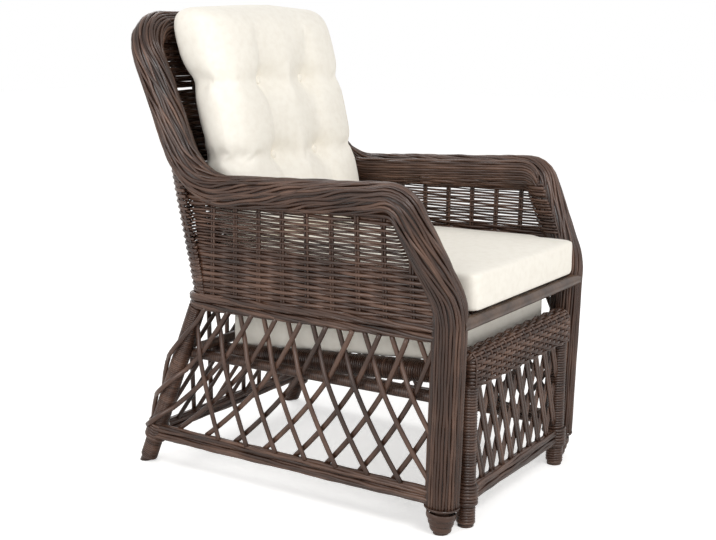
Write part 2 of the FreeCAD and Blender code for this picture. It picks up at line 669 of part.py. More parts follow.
def apron_marks(inset):
    """Points of the apron's section, a front wall rolled over the top, moved in by an inset."""
    return (
        Vec(-APRON_HALF, APRON_FRONT_Y + inset, APRON_BASE_Z),
        Vec(-APRON_HALF, APRON_FRONT_Y + inset, APRON_SPRING_Z),
        Vec(-APRON_HALF, APRON_FRONT_Y + APRON_ROLL, APRON_TOP_Z - inset),
        Vec(-APRON_HALF, APRON_REAR_Y - inset, APRON_SPRING_Z),
    )


outer = apron_marks(0)
inner = apron_marks(APRON_T)
apron_edges = [
    Part.LineSegment(outer[0], outer[1]).toShape(),
    Part.Arc(*outer[1:]).toShape(),
    Part.LineSegment(outer[3], inner[3]).toShape(),
    Part.Arc(inner[3], inner[2], inner[1]).toShape(),
    Part.LineSegment(inner[1], inner[0]).toShape(),
    Part.LineSegment(inner[0], outer[0]).toShape(),
]
apron = Part.Face(Part.Wire(apron_edges)).extrude(Vec(2 * APRON_HALF, 0, 0))
add("footrest_apron", apron)

# Footrest front lattice between the front rail and the bottom rail
fr_panel = (Vec(0, FR_PANEL_Y, 0), Vec(1, 0, 0), Vec(0, 0, 1), Vec(0, -1, 0))
fr_strands = []
for i in range(-2, FR_STRAND_PAIRS + 2):
    stake_x = (i - (FR_STRAND_PAIRS - 1) / 2) * FR_STRAND_PITCH
    top = (stake_x, FR_FRONT_RAIL_Z)
    for sign, depth in ((1, 0), (-1, -FR_STRAND_T)):
        end = (stake_x + sign * FR_STRAND_SHIFT, FR_RAIL_Z + ROPE_PITCH / 2 + ROPE_R)
        fr_strands.append(strand(fr_panel, top, end, 0.5, FR_STRAND_W, depth, FR_STRAND_T))
fr_region_corner = Vec(-FR_LEG_X, FR_PANEL_Y - FR_RAIL_R, 0)
fr_region = Part.makeBox(2 * FR_LEG_X, 2 * FR_RAIL_R, FR_FRONT_RAIL_Z, fr_region_corner)
fr_seats = [fr_front]
for shape in (fr_leg, fr_wrap_full, fr_tie_full):
    fr_seats += [shape, mirrored(shape)]
fr_least = FR_STRAND_W * FR_STRAND_T * FR_STRAND_W
add("footrest_lattice", trimmed(fr_strands, fr_region, fr_seats, fr_least))

# Footrest side rails with their wrap, the rear crossbar that rides on the runners, and the slats
crossbar_end = Vec(CROSSBAR_HALF, CROSSBAR_Y, CROSSBAR_Z)
crossbar = pole(Vec(-CROSSBAR_HALF, CROSSBAR_Y, CROSSBAR_Z), crossbar_end, CROSSBAR_R)
side_head_y = FR_LEG_Y + FR_STRAND_T
rail_head = Vec(SIDE_RAIL_X, side_head_y, side_rail_z(side_head_y))
rail_tail = Vec(SIDE_RAIL_X, SIDE_END_Y, side_rail_z(SIDE_END_Y))
side_room = pole(rail_head, rail_tail, SIDE_CORE_R + SLEEVE_FIT)
side_seats = [fr_leg, fr_front, crossbar]
side_core = pole(rail_head, rail_tail, SIDE_CORE_R).cut(side_seats)
side_wrap = pole(rail_head, rail_tail, SIDE_WRAP_R).cut(side_seats + [side_room, fr_wrap_full])
add_pair("footrest_side_rail", largest(side_core))
add_pair("footrest_side_wrap", largest(side_wrap))
add("footrest_crossbar", crossbar)
fr_slats = []
slat_half = SIDE_RAIL_X - SIDE_WRAP_R
for y in FR_SLAT_YS:
    fr_slats.append(pole(Vec(-slat_half, y, side_rail_z(y)), Vec(slat_half, y, side_rail_z(y)), FR_SLAT_R))
add("footrest_slats", *fr_slats)

# Seat cushion, narrower where it passes between the front legs
seat_base = SEAT_TOP_Z + CUSHION_FIT
seat_half_outline = [
    (SEAT_CUSHION_NECK_HALF, SEAT_CUSHION_FRONT_Y, CUSHION_CORNER),
    (SEAT_CUSHION_NECK_HALF, SEAT_CUSHION_NECK_Y, SEAT_CUSHION_NECK_BEND),
    (SEAT_CUSHION_SHOULDER_HALF, SEAT_CUSHION_SHOULDER_Y, SEAT_CUSHION_SHOULDER_BEND),
    (SEAT_CUSHION_REAR_HALF, SEAT_CUSHION_REAR_Y, CUSHION_CORNER),
]
seat_corners = [Vec(x, y, seat_base) for x, y, bend in seat_half_outline]
seat_corners += [Vec(-x, y, seat_base) for x, y, bend in reversed(seat_half_outline)]
seat_bends = [bend for x, y, bend in seat_half_outline]
seat_bends += list(reversed(seat_bends))
seat_outline = rounded_loop(seat_corners, seat_bends)
add("seat_cushion", rounded_slab(seat_outline, SEAT_CUSHION_T, Vec(0, 0, 1), CUSHION_EDGE))

# Back cushion: a pillow with a seam round its half thickness, creased and tufted at the buttons
back_base = SEAT_CUSHION_TOP_Z + CUSHION_FIT


def cushion_full(share):
    """Fullness of the pillow at a share of its height: whole in the middle, drawn in at both ends."""
    edge = abs(2 * share - 1)
    return max(END_FULL, (1 - edge ** END_POWER) ** (1 / SWELL_ROUND))


def cushion_dip(x, share):
    """Depth of the front below its swell: a crease through each column of buttons, a tuft at each button."""
    across = abs(abs(x) - BUTTON_X)
    depth = CREASE_DEPTH * max(0, 1 - across / CREASE_REACH)
    for button_share in BUTTON_SHARES:
        along = (share - button_share) * (BACK_CUSHION_TOP_Z - back_base)
        depth += TUFT_DEPTH * max(0, 1 - math.hypot(across, along) / TUFT_REACH)
    return depth * cushion_full(share)


def cushion_mark(x, share, side):
    """Point of the pillow at a distance from its middle plane: side -1 on the front, 1 on the rear."""
    thick = BACK_CUSHION_BASE_T + share * (BACK_CUSHION_TOP_T - BACK_CUSHION_BASE_T)
    rear_y = BACK_CUSHION_BASE_Y + share * (BACK_CUSHION_TOP_Y - BACK_CUSHION_BASE_Y)
    reach = abs(x) / BACK_CUSHION_HALF
    full = cushion_full(share)
    swell = thick / 2 * full * (1 - reach ** SWELL_POWER) ** (1 / SWELL_ROUND)
    if side < 0:
        swell -= min(swell, cushion_dip(x, share))
    height = back_base + share * (BACK_CUSHION_TOP_Z - back_base)
    return Vec(x * (1 - END_NIP * (1 - full)), rear_y - thick / 2 + side * swell, height)


front_xs = list(BACK_CUSHION_FRONT_XS) + [BACK_CUSHION_HALF]
front_xs = [-x for x in reversed(front_xs[1:])] + front_xs
rear_xs = list(reversed(BACK_CUSHION_REAR_XS)) + [-x for x in BACK_CUSHION_REAR_XS]
cushion_rings = []
for share in sorted(BACK_CUSHION_LEVELS + BUTTON_SHARES):
    ring = [cushion_mark(x, share, -1) for x in front_xs]
    cushion_rings.append(loop(ring + [cushion_mark(x, share, 1) for x in rear_xs]))
back_pillow = Part.makeLoft(cushion_rings, True, True)
front_run = cushion_mark(0, BUTTON_SHARES[1], 1) - cushion_mark(0, BUTTON_SHARES[0], 1)
front_normal = Vec(1, 0, 0).cross(front_run).normalize()
buttons = []
for share in BUTTON_SHARES:
    for x in (-BUTTON_X, BUTTON_X):
        seat = cushion_mark(x, share, -1) - front_normal * BUTTON_SINK
        buttons.append(pole(seat, seat + front_normal * BUTTON_T, BUTTON_R))
add("back_cushion", largest(back_pillow.cut(buttons)))
add("back_cushion_buttons", *buttons)

# Footrest cushion, lying along the side rails
rail_top = SIDE_WRAP_R / math.cos(math.atan(SIDE_SLOPE)) + CUSHION_FIT
pad_corners = []
for y, lift in (
    (FR_CUSHION_FRONT_Y, 0),
    (FR_CUSHION_REAR_Y, 0),
    (FR_CUSHION_REAR_Y, FR_CUSHION_T),
    (FR_CUSHION_FRONT_Y, FR_CUSHION_T),
):
    pad_corners.append(Vec(-FR_CUSHION_HALF, y, side_rail_z(y) + rail_top + lift))
pad_outline = rounded_loop(pad_corners, [CUSHION_EDGE] * 4)
add("footrest_cushion", rounded_slab(pad_outline, 2 * FR_CUSHION_HALF, Vec(1, 0, 0), CUSHION_EDGE))

for name, shape in pieces.items():
    shape.exportStep("parts/" + name + ".step")
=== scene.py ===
"""Dressed scene of a woven rattan armchair with a footrest that slides out from under its seat.

Sizes are in millimetres until a mesh is put into the scene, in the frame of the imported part:
X to the sitter's left, the front of the chair at -Y, the floor at Z 0.
"""
import logging
import math
from collections.abc import Mapping
from dataclasses import dataclass, field
from enum import Enum
from functools import cached_property
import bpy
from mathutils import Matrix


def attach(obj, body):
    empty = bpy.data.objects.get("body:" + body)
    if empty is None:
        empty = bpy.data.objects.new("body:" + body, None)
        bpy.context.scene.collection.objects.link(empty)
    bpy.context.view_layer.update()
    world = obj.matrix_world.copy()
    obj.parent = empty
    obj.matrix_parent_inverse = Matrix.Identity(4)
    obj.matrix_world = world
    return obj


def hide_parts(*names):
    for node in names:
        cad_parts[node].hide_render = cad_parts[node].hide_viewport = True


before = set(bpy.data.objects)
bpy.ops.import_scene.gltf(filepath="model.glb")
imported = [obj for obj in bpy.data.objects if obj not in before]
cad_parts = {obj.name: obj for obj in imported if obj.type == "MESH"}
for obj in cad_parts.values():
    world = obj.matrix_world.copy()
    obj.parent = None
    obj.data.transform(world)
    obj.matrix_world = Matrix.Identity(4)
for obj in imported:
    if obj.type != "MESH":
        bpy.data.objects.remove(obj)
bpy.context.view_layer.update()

from types import MappingProxyType

import bpy
import numpy as np
from bpy.types import ID, Material, Mesh, Node, NodeSocket, NodeTree, Object
from mathutils import Vector
from numpy.typing import ArrayLike

LOG = logging.getLogger("rattan_chair")
MM = 0.001
PHOTO_WIDTH = 716
SENSOR_MM = 36.0
ACROSS, BACK, UP = np.eye(3)
MIRROR = np.array([-1.0, 1.0, 1.0])
TINY = 1e-9
NONE = MappingProxyType({})
# Marks on a bend of a path and on a corner of an outline.
BEND_MARKS, CORNER_MARKS = 40, 12
# Shares of the two waves of a wander, and how much shorter the second one is.
DRIFT_SHARES, DRIFT_RATIO = (0.6, 0.4), 2.3
# Direction that no wound pole runs along.
SKEW = np.array([0.31, 0.95, 0.05])


class Side(Enum):
    """The sitter's left or right, as the end of a name."""

    LEFT = "left"
    RIGHT = "right"


class Body(Enum):
    """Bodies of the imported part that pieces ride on."""

    CHAIR = "chair"
    FOOTREST = "footrest"
    SEAT_CUSHION = "seat_cushion"
    BACK_CUSHION = "back_cushion"


class Slot(Enum):
    """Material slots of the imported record."""

    RATTAN = "rattan"
    COTTON = "cotton"


def linear(code: str) -> tuple:
    """Turn an sRGB hex colour into linear light.

    Args:
        code: colour as six hex digits.

    Returns:
        Red, green, blue and alpha for a shader socket.
    """
    part = np.array([int(code[i : i + 2], 16) for i in (0, 2, 4)]) / 255.0
    light = np.where(part <= 0.04045, part / 12.92, ((part + 0.055) / 1.055) ** 2.4)
    return (*light.tolist(), 1.0)


def add_node(
    tree: NodeTree, kind: str, settings: Mapping = NONE, values: Mapping = NONE, links: Mapping = NONE
) -> Node:
    """Add one shader node with its settings, socket values and incoming links.

    Args:
        tree: node tree that takes the node.
        kind: Blender's name of the node type, without its first two words.
        settings: attributes of the node.
        values: constant socket values by input name or number.
        links: output sockets by input name or number.

    Returns:
        The new node.
    """
    node = tree.nodes.new("ShaderNode" + kind)
    for key, value in settings.items():
        setattr(node, key, value)
    for key, value in values.items():
        node.inputs[key].default_value = value
    for key, socket in links.items():
        tree.links.new(socket, node.inputs[key])
    return node


class Shading:
    """Node tree of one material, with the steps that the finishes share. Each step gives a socket."""

    def __init__(self, name: str) -> None:
        """Make a material that holds a shader and its output.

        Args:
            name: the material's name.
        """
        self.material = bpy.data.materials.new(name)
        self.material.use_nodes = True
        self.tree = self.material.node_tree
        self.tree.nodes.clear()
        self.shader = self.add("BsdfPrincipled")
        self.add("OutputMaterial", links={"Surface": self.shader.outputs["BSDF"]})

    @cached_property
    def place(self) -> NodeSocket:
        """Object coordinates."""
        return self.add("TexCoord").outputs["Object"]

    def add(self, kind: str, *given: Mapping, **named: Mapping) -> Node:
        """Add one node to this material."""
        return add_node(self.tree, kind, *given, **named)

    def noise(self, length_mm: float, detail: float) -> NodeSocket:
        """Noise of a length on Object coordinates."""
        values = {"Scale": 1 / (length_mm * MM), "Detail": detail}
        return self.add("TexNoise", values=values, links={"Vector": self.place}).outputs["Fac"]

    def bands(self, axis: str, step_mm: float, distortion: float) -> NodeSocket:
        """Even bands along an axis of the Object coordinates."""
        values = {"Scale": math.pi / 10 / (step_mm * MM), "Distortion": distortion, "Detail": 1.0}
        return self.add("TexWave", {"bands_direction": axis}, values, {"Vector": self.place}).outputs["Fac"]

    def total(self, first: NodeSocket, share: float, second: NodeSocket) -> NodeSocket:
        """The first value times a share, plus the second."""
        node = self.add("Math", {"operation": "MULTIPLY_ADD"}, {1: share}, {0: first, 2: second})
        return node.outputs["Value"]

    def ranged(self, value: NodeSocket, ends: dict) -> NodeSocket:
        """A value carried from one range to another."""
        return self.add("MapRange", values=ends, links={"Value": value}).outputs["Result"]

    def colour(self, value: NodeSocket, stops: list) -> None:
        """Base colour by a ramp through pairs of place and hex colour.

        Args:
            value: socket that drives the ramp.
            stops: the pairs.
        """
        node = self.add("ValToRGB", links={"Fac": value})
        while len(node.color_ramp.elements) < len(stops):
            node.color_ramp.elements.new(0.5)
        for element, (place, code) in zip(node.color_ramp.elements, stops):
            element.position = place
            element.color = linear(code)
        self.tree.links.new(node.outputs["Color"], self.shader.inputs["Base Color"])

    def bump(self, height: NodeSocket, strength: float, depth_mm: float) -> None:
        """Fine relief from a height socket.

        Args:
            height: the socket.
            strength: share of the relief that shows.
            depth_mm: height of the relief.
        """
        values = {"Strength": strength, "Distance": depth_mm * MM}
        node = self.add("Bump", values=values, links={"Height": height})
        self.tree.links.new(node.outputs["Normal"], self.shader.inputs["Normal"])

    def finished(self, values: dict) -> Material:
        """Set the shader's plain values and give the material.

        Args:
            values: the values by input name.

        Returns:
            The material.
        """
        for key, value in values.items():
            self.shader.inputs[key].default_value = value
        return self.material


@dataclass(frozen=True)
class StainedCane:
    """Rattan cane, stained dark brown and lacquered: satin skin, long fibres, a shade of its own."""

    name: str = "stained_rattan_cane"
    dark: str = "24160f"
    middle: str = "442e23"
    light: str = "6d5142"
    roughness: float = 0.27
    fibre_length_mm: float = 26.0
    fibres_round: float = 7.0
    mottle_length_mm: float = 90.0
    cane_shift: float = 97.0
    share: float = 0.55
    gloss: tuple = (-0.08, 0.14)

    def material(self) -> Material:
        """Material on the canes' own UV map: U runs along a cane in metres, V once round it.

        Returns:
            The material.
        """
        shading = Shading(self.name)
        add = shading.add
        uv = add("UVMap", {"uv_map": "cane"}).outputs["UV"]
        tint = add("Attribute", {"attribute_name": "tint"}).outputs["Fac"]
        stretch = {"Scale": (1 / (self.fibre_length_mm * MM), self.fibres_round, 1.0)}
        along = add("Mapping", values=stretch, links={"Vector": uv}).outputs["Vector"]
        own = add("CombineXYZ", links={"Z": tint}).outputs["Vector"]
        shift = {1: (0.0, 0.0, self.cane_shift)}
        moved = add("VectorMath", {"operation": "MULTIPLY_ADD"}, shift, {0: own, 2: along}).outputs["Vector"]
        values = {"Scale": 1.0, "Detail": 3.0, "Roughness": 0.6}
        fibre = add("TexNoise", values=values, links={"Vector": moved}).outputs["Fac"]
        blend = shading.total(tint, self.share, shading.noise(self.mottle_length_mm, detail=2.0))
        shade = shading.total(fibre, self.share, blend)
        span = shading.ranged(shade, {"From Min": 0.55, "From Max": 1.55})
        shading.colour(span, [(0.0, self.dark), (0.5, self.middle), (1.0, self.light)])
        low, high = (self.roughness + part for part in self.gloss)
        gloss = shading.ranged(fibre, {"To Min": low, "To Max": high})
        shading.tree.links.new(gloss, shading.shader.inputs["Roughness"])
        shading.bump(fibre, strength=0.25, depth_mm=0.4)
        return shading.finished({"Specular IOR Level": 0.5, "IOR": 1.5})


@dataclass(frozen=True)
class WrappedPole:
    """Peeled rattan pole, stained and closely wound with thin flat cane: fine rings across the pole."""

    name: str
    axis: str
    dark: str = "241812"
    middle: str = "402b21"
    light: str = "5a4235"
    ring_mm: float = 5.0
    ring_bump: float = 0.35
    roughness: float = 0.42
    grain_mm: float = 9.0
    ring_share: float = 0.35

    def material(self) -> Material:
        """Material on Object coordinates, with rings along the pole's own axis.

        Returns:
            The material.
        """
        shading = Shading(self.name)
        rings = shading.bands(self.axis, self.ring_mm, distortion=0.6)
        shade = shading.total(rings, self.ring_share, shading.noise(self.grain_mm, detail=3.0))
        shading.colour(shade, [(0.35, self.dark), (0.65, self.middle), (0.95, self.light)])
        shading.bump(rings, self.ring_bump, depth_mm=0.6)
        return shading.finished({"Roughness": self.roughness})


@dataclass(frozen=True)
class CottonCanvas:
    """Plain woven cotton canvas, undyed off-white: matt, with soft sheen and a fine even weave."""

    name: str = "cotton_canvas"
    shade: str = "efe9dd"
    colour: str = "f5f0e5"
    thread_mm: float = 1.7
    slub_mm: float = 14.0
    thread_share: float = 0.35

    def material(self) -> Material:
        """Material on Object coordinates.

        The threads are drawn at about three times their real spacing, because finer ones would not show.

        Returns:
            The material.
        """
        shading = Shading(self.name)
        warp, weft, cross = (shading.bands(axis, self.thread_mm, distortion=0.5) for axis in "XZY")
        threads = shading.total(shading.total(warp, 1.0, weft), 1.0, cross)
        slub = shading.noise(self.slub_mm, detail=4.0)
        shading.colour(slub, [(0.25, self.shade), (0.6, self.colour)])
        shading.bump(shading.total(threads, self.thread_share, slub), strength=0.22, depth_mm=0.5)
        return shading.finished({"Roughness": 0.88, "Sheen Weight": 0.15, "Sheen Roughness": 0.5})


class Finishes:
    """The materials of the object, each made once."""

    def __init__(self) -> None:
        """Make every material."""
        self.cane = StainedCane().material()
        self.pole = {axis: WrappedPole("wrapped_pole_" + axis.lower(), axis).material() for axis in "XYZ"}
        shades = ("35251b", "49362a", "5a4536")
        peeled = WrappedPole("peeled_pole", "X", *shades, ring_mm=90.0, ring_bump=0.0, roughness=0.3)
        self.seat_rail = peeled.material()
        self.canvas = CottonCanvas().material()


def unit(vectors: np.ndarray) -> np.ndarray:
    """Scale vectors on the last axis to length one."""
    return vectors / np.maximum(np.linalg.norm(vectors, axis=-1, keepdims=True), TINY)


def grid(x: ArrayLike, y: ArrayLike, z: ArrayLike) -> np.ndarray:
    """Points from their three places, each a number or an array."""
    return np.stack(np.broadcast_arrays(x, y, z), axis=-1)


def run_length(path: np.ndarray) -> np.ndarray:
    """Distance of each point of a path from its start."""
    return np.concatenate([[0], np.cumsum(np.linalg.norm(np.diff(path, axis=0), axis=1))])


def resampled(dense: np.ndarray, count: int, closed: bool = False) -> np.ndarray:
    """Points at even steps along a path; a closed one leaves out its end.

    Args:
        dense: the path, with its points at uneven steps.
        count: number of points.
        closed: whether the path ends where it starts.

    Returns:
        The points.
    """
    place = run_length(dense)
    even = np.linspace(0, place[-1], count, endpoint=not closed)
    return np.stack([np.interp(even, place, column) for column in dense.T], axis=-1)


def filleted(corners: np.ndarray, bends: tuple, step: float) -> np.ndarray:
    """Points at even steps along straight runs joined by round bends.

    A bend's point is its centre minus the inward direction times the radius times cos(turn), plus the
    incoming direction times the radius times sin(turn).

    Args:
        corners: corner points, shaped (corners, 3).
        bends: radius at each inner corner.
        step: distance between points.

    Returns:
        The points.
    """
    runs = [corners[:1]]
    for i, radius in enumerate(bends, start=1):
        into = unit(corners[i] - corners[i - 1])
        out = unit(corners[i + 1] - corners[i])
        turn = math.acos(float(np.clip(into @ out, -1, 1)))
        inward = unit(out - into * (into @ out))
        centre = corners[i] - into * radius * math.tan(turn / 2) + inward * radius
        swing = np.linspace(0, turn, BEND_MARKS)[:, None]
        runs.append(centre - inward * radius * np.cos(swing) + into * radius * np.sin(swing))
    dense = np.concatenate([*runs, corners[-1:]])
    return resampled(dense, int(run_length(dense)[-1] / step) + 2)


def round_outline(corners: np.ndarray, bends: tuple, marks: int) -> np.ndarray:
    """Closed outline through corners with a round bend at each, at even steps.

    Args:
        corners: corner points, shaped (corners, 2).
        bends: radius at each corner.
        marks: number of points.

    Returns:
        The points, shaped (marks, 2).
    """
    before = unit(np.roll(corners, 1, axis=0) - corners)
    after = unit(np.roll(corners, -1, axis=0) - corners)
    half = np.arccos(np.clip(np.sum(before * after, axis=1), -1, 1)) / 2
    reach = np.array(bends) / np.tan(half)
    share = np.linspace(0, 1, CORNER_MARKS)[:, None, None]
    first, last = corners + before * reach[:, None], corners + after * reach[:, None]
    arcs = (1 - share) ** 2 * first + 2 * share * (1 - share) * corners + share**2 * last
    dense = arcs.transpose(1, 0, 2).reshape(-1, 2)
    return resampled(np.concatenate([dense, dense[:1]]), marks, closed=True)


def drift(count: int, place: np.ndarray, wave: float, seed: int) -> np.ndarray:
    """Slow uneven wander of many canes: the sum of two sines with random phases, between -1 and 1.

    Args:
        count: number of canes.
        place: distances along them.
        wave: length of the longer wave.
        seed: seed of the phases.

    Returns:
        Wander shaped (count, places).
    """
    phase = np.random.default_rng(seed).random((count, 2)) * 2 * np.pi
    turn = 2 * np.pi * place / wave
    first, second = DRIFT_SHARES
    return first * np.sin(turn + phase[:, :1]) + second * np.sin(DRIFT_RATIO * turn + phase[:, 1:])


@dataclass
class Surface:
    """Faces of a piece while it is put together: vertices, loops, face starts, UVs and tints."""

    verts: np.ndarray
    loops: np.ndarray
    starts: np.ndarray
    uv: np.ndarray
    tint: np.ndarray

    @staticmethod
    def joined(parts: list) -> "Surface":
        """Put several surfaces into one, with their indices moved on.

        Args:
            parts: the surfaces.

        Returns:
            One surface.
        """
        vertex_base = np.cumsum([0] + [len(p.verts) for p in parts[:-1]])
        loop_base = np.cumsum([0] + [len(p.loops) for p in parts[:-1]])
        return Surface(
            np.concatenate([p.verts for p in parts]),
            np.concatenate([p.loops + b for p, b in zip(parts, vertex_base)]),
            np.concatenate([p.starts + b for p, b in zip(parts, loop_base)]),
            np.concatenate([p.uv for p in parts]),
            np.concatenate([p.tint for p in parts]),
        )

    def dark(self) -> "Surface":
        """The same surface in the darkest tint, a painted shade for cores that show only in the gaps between
        canes.
        """
        self.tint = np.zeros_like(self.tint)
        return self

    def mirrored(self) -> "Surface":
        """Mirror image in the chair's middle plane, with its faces turned to point outwards.

        Returns:
            The right piece of a left one.
        """
        sizes = np.append(self.starts[1:], len(self.loops)) - self.starts
        first = np.repeat(self.starts, sizes)
        offset = np.arange(len(self.loops)) - first
        swap = first + np.repeat(sizes, sizes) - 1 - offset
        return Surface(self.verts * MIRROR, self.loops[swap], self.starts, self.uv[swap], self.tint)

    def both(self) -> "Surface":
        """The surface and its mirror image as one."""
        return Surface.joined([self, self.mirrored()])


def canes(
    path: np.ndarray, guide: np.ndarray, half_out: ArrayLike, half_across: ArrayLike, seed: int, sides: int = 6
) -> Surface:
    """Carry an oval section along many paths at once and close the ends.

    A point is the path plus cos(turn) times half_out along the guide, made square to the path, plus
    sin(turn) times half_across along the third direction.

    Args:
        path: centre lines, shaped (canes, marks, 3).
        guide: direction of the section's first axis, one or shaped like path.
        half_out: half size along the guide, a number or shaped (canes, marks).
        half_across: half size across it, likewise.
        seed: seed of the canes' tints.
        sides: corners of the section.

    Returns:
        The canes as one surface.
    """
    count, marks = path.shape[:2]
    along = unit(np.gradient(path, axis=1))
    out = unit(guide - np.sum(guide * along, axis=-1, keepdims=True) * along)
    across = np.cross(along, out)
    turn = 2 * np.pi * np.arange(sides) / sides
    first = np.broadcast_to(half_out, (count, marks))[:, :, None, None] * out[:, :, None, :]
    second = np.broadcast_to(half_across, (count, marks))[:, :, None, None] * across[:, :, None, :]
    ring = first * np.cos(turn)[:, None] + second * np.sin(turn)[:, None]
    verts = (path[:, :, None, :] + ring).reshape(-1, 3)
    index = np.arange(count * marks * sides).reshape(count, marks, sides)
    after = np.roll(index, -1, axis=2)
    quads = np.stack([index[:, :-1], after[:, :-1], after[:, 1:], index[:, 1:]], axis=-1).reshape(-1, 4)
    caps = np.concatenate([index[:, 0, ::-1], index[:, -1, :]])
    loops = np.concatenate([quads.ravel(), caps.ravel()])
    starts = np.concatenate([4 * np.arange(len(quads)), quads.size + sides * np.arange(len(caps))])
    step = np.linalg.norm(np.diff(path, axis=1), axis=-1)
    length = np.concatenate([np.zeros((count, 1)), np.cumsum(step, axis=1)], axis=1) * MM
    low, high, near = np.broadcast_arrays(length[:, :-1, None], length[:, 1:, None], np.arange(sides) / sides)
    far = near + 1 / sides
    corners = [np.stack(pair, -1) for pair in ((low, near), (low, far), (high, far), (high, near))]
    ends = np.concatenate([np.repeat(length[:, 0], sides), np.repeat(length[:, -1], sides)])
    ends = np.stack([ends, np.full_like(ends, 0.5)], -1)
    uv = np.concatenate([np.stack(corners, axis=3).reshape(-1, 2), ends])
    tint = np.repeat(np.random.default_rng(seed).random(count), marks * sides)
    return Surface(verts, loops, starts, uv, tint)


def cut_canes(
    paths: np.ndarray,
    held: np.ndarray,
    guide: np.ndarray,
    half: tuple,
    seed: int,
    apart: tuple = ((0, 0, 0),),
    least: int = 4,
) -> list:
    """Canes along the held marks of paths, one surface each; stubs are left out.

    Args:
        paths: centre lines, shaped (canes, marks, 3).
        held: which marks stay, shaped (canes, marks).
        guide: direction of the section's first axis.
        half: half sizes along the guide and across it.
        seed: seed of the first cane's tint.
        apart: shifts of the canes that lie side by side on one path.
        least: fewest marks of a cane.

    Returns:
        The surfaces.
    """
    parts = []
    for line, inside in zip(paths, held):
        if inside.sum() >= least:
            laid = line[inside] + np.array(apart)[:, None, :]
            parts.append(canes(laid, guide, *half, seed + len(parts), sides=8))
    return parts


def new_object(name: str, data: ID) -> Object:
    """Make an object of a mesh, a camera or a lamp and link it into the scene.

    Args:
        name: the object's name.
        data: what it shows.

    Returns:
        The object.
    """
    obj = bpy.data.objects.new(name, data)
    bpy.context.scene.collection.objects.link(obj)
    return obj


def smooth_shaded(mesh: Mesh) -> None:
    """Let every face of a mesh be shaded smooth."""
    mesh.polygons.foreach_set("use_smooth", np.ones(len(mesh.polygons), dtype=bool))


@dataclass
class Workshop:
    """Puts finished surfaces into the scene as pieces that ride on bodies."""

    finishes: Finishes
    pieces: list = field(default_factory=list)

    def place(self, obj: Object, body: Body, slot: Slot, replaced: list) -> None:
        """Let an object ride on a body in place of CAD nodes.

        Args:
            obj: the piece.
            body: body that it rides on.
            slot: material slot of the record; not used.
            replaced: names of the CAD nodes that it stands for.
        """
        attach(obj, body.value)
        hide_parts(*replaced)
        self.pieces.append(obj.name)
        LOG.info("%s: %d faces on %s", obj.name, len(obj.data.polygons), body.value)

    def put(self, name: str, surface: Surface, body: Body, *replaced: str) -> None:
        """Make a cane piece from a surface.

        Args:
            name: name of the piece.
            surface: its faces, in millimetres.
            body: body that it rides on.
            replaced: names of the CAD nodes that it stands for.
        """
        mesh = bpy.data.meshes.new(name)
        mesh.vertices.add(len(surface.verts))
        mesh.vertices.foreach_set("co", (surface.verts * MM).astype(np.float32).ravel())
        mesh.loops.add(len(surface.loops))
        mesh.loops.foreach_set("vertex_index", surface.loops.astype(np.int32))
        mesh.polygons.add(len(surface.starts))
        mesh.polygons.foreach_set("loop_start", surface.starts.astype(np.int32))
        mesh.update(calc_edges=True)
        smooth_shaded(mesh)
        layer = mesh.uv_layers.new(name="cane")
        layer.data.foreach_set("uv", surface.uv.astype(np.float32).ravel())
        tint = mesh.attributes.new("tint", "FLOAT", "POINT")
        tint.data.foreach_set("value", surface.tint.astype(np.float32))
        mesh.materials.append(self.finishes.cane)
        self.place(new_object(name, mesh), body, Slot.RATTAN, list(replaced))

    def put_pairs(self, body: Body, *pairs: tuple) -> None:
        """Make left pieces and their mirror images, each in place of its side's node.

        Args:
            body: body that they ride on.
            pairs: name, left surface and node of each pair, the names without their side.
        """
        for side in Side:
            for name, left, node in pairs:
                surface = left if side is Side.LEFT else left.mirrored()
                self.put(name + side.value, surface, body, node + side.value)

    def dress_node(self, node: str, material: Material) -> None:
        """Give a CAD node that stays in view its finish.

        Args:
            node: the CAD node.
            material: its finish.
        """
        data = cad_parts[node].data
        data.materials.clear()
        data.materials.append(material)
        LOG.info("%s: finish %s", node, material.name)


@dataclass(frozen=True)
class RopeMaker:
    """Rope rows: canes laid round a centre line with a long twist."""

    strands: int = 6
    strand_r: float = 4.2
    lay_r: float = 5.3
    twist: float = 420.0
    sway: float = 0.25
    sway_wave: float = 170.0
    lift: float = 0.5
    lift_wave: float = 120.0

    def lay(self, path: np.ndarray, seed: int) -> Surface:
        """Lay the canes along a path.

        A cane's centre is the path plus lay_r times (cos(turn) out + sin(turn) up), where the turn
        grows evenly along the path. A core in the darkest tint fills the middle: painted shade in the gaps
        between the canes.

        Args:
            path: centre line, shaped (marks, 3).
            seed: seed of tints and wander.

        Returns:
            The rope.
        """
        along = unit(np.gradient(path, axis=0))
        rise = unit(UP - np.sum(UP * along, axis=-1, keepdims=True) * along)
        out = np.cross(along, rise)
        place = run_length(path)
        start = 2 * np.pi * np.arange(self.strands)[:, None] / self.strands
        turn = start + 2 * np.pi * place / self.twist
        turn = turn + self.sway * drift(self.strands, place, self.sway_wave, seed)
        radial = np.cos(turn)[..., None] * out + np.sin(turn)[..., None] * rise
        reach = self.lay_r + self.lift * drift(self.strands, place, self.lift_wave, seed + 1)
        laid = canes(path + reach[..., None] * radial, radial, self.strand_r, self.strand_r, seed)
        # the core's darkest tint paints the shade in the gaps between the strands
        core = canes(path[None], rise[None], self.lay_r, self.lay_r, seed, sides=8)
        return Surface.joined([laid, core.dark()])

    def rows(self, paths: list, seed: int) -> Surface:
        """Lay a rope along each path."""
        return Surface.joined([self.lay(path, seed + i) for i, path in enumerate(paths)])


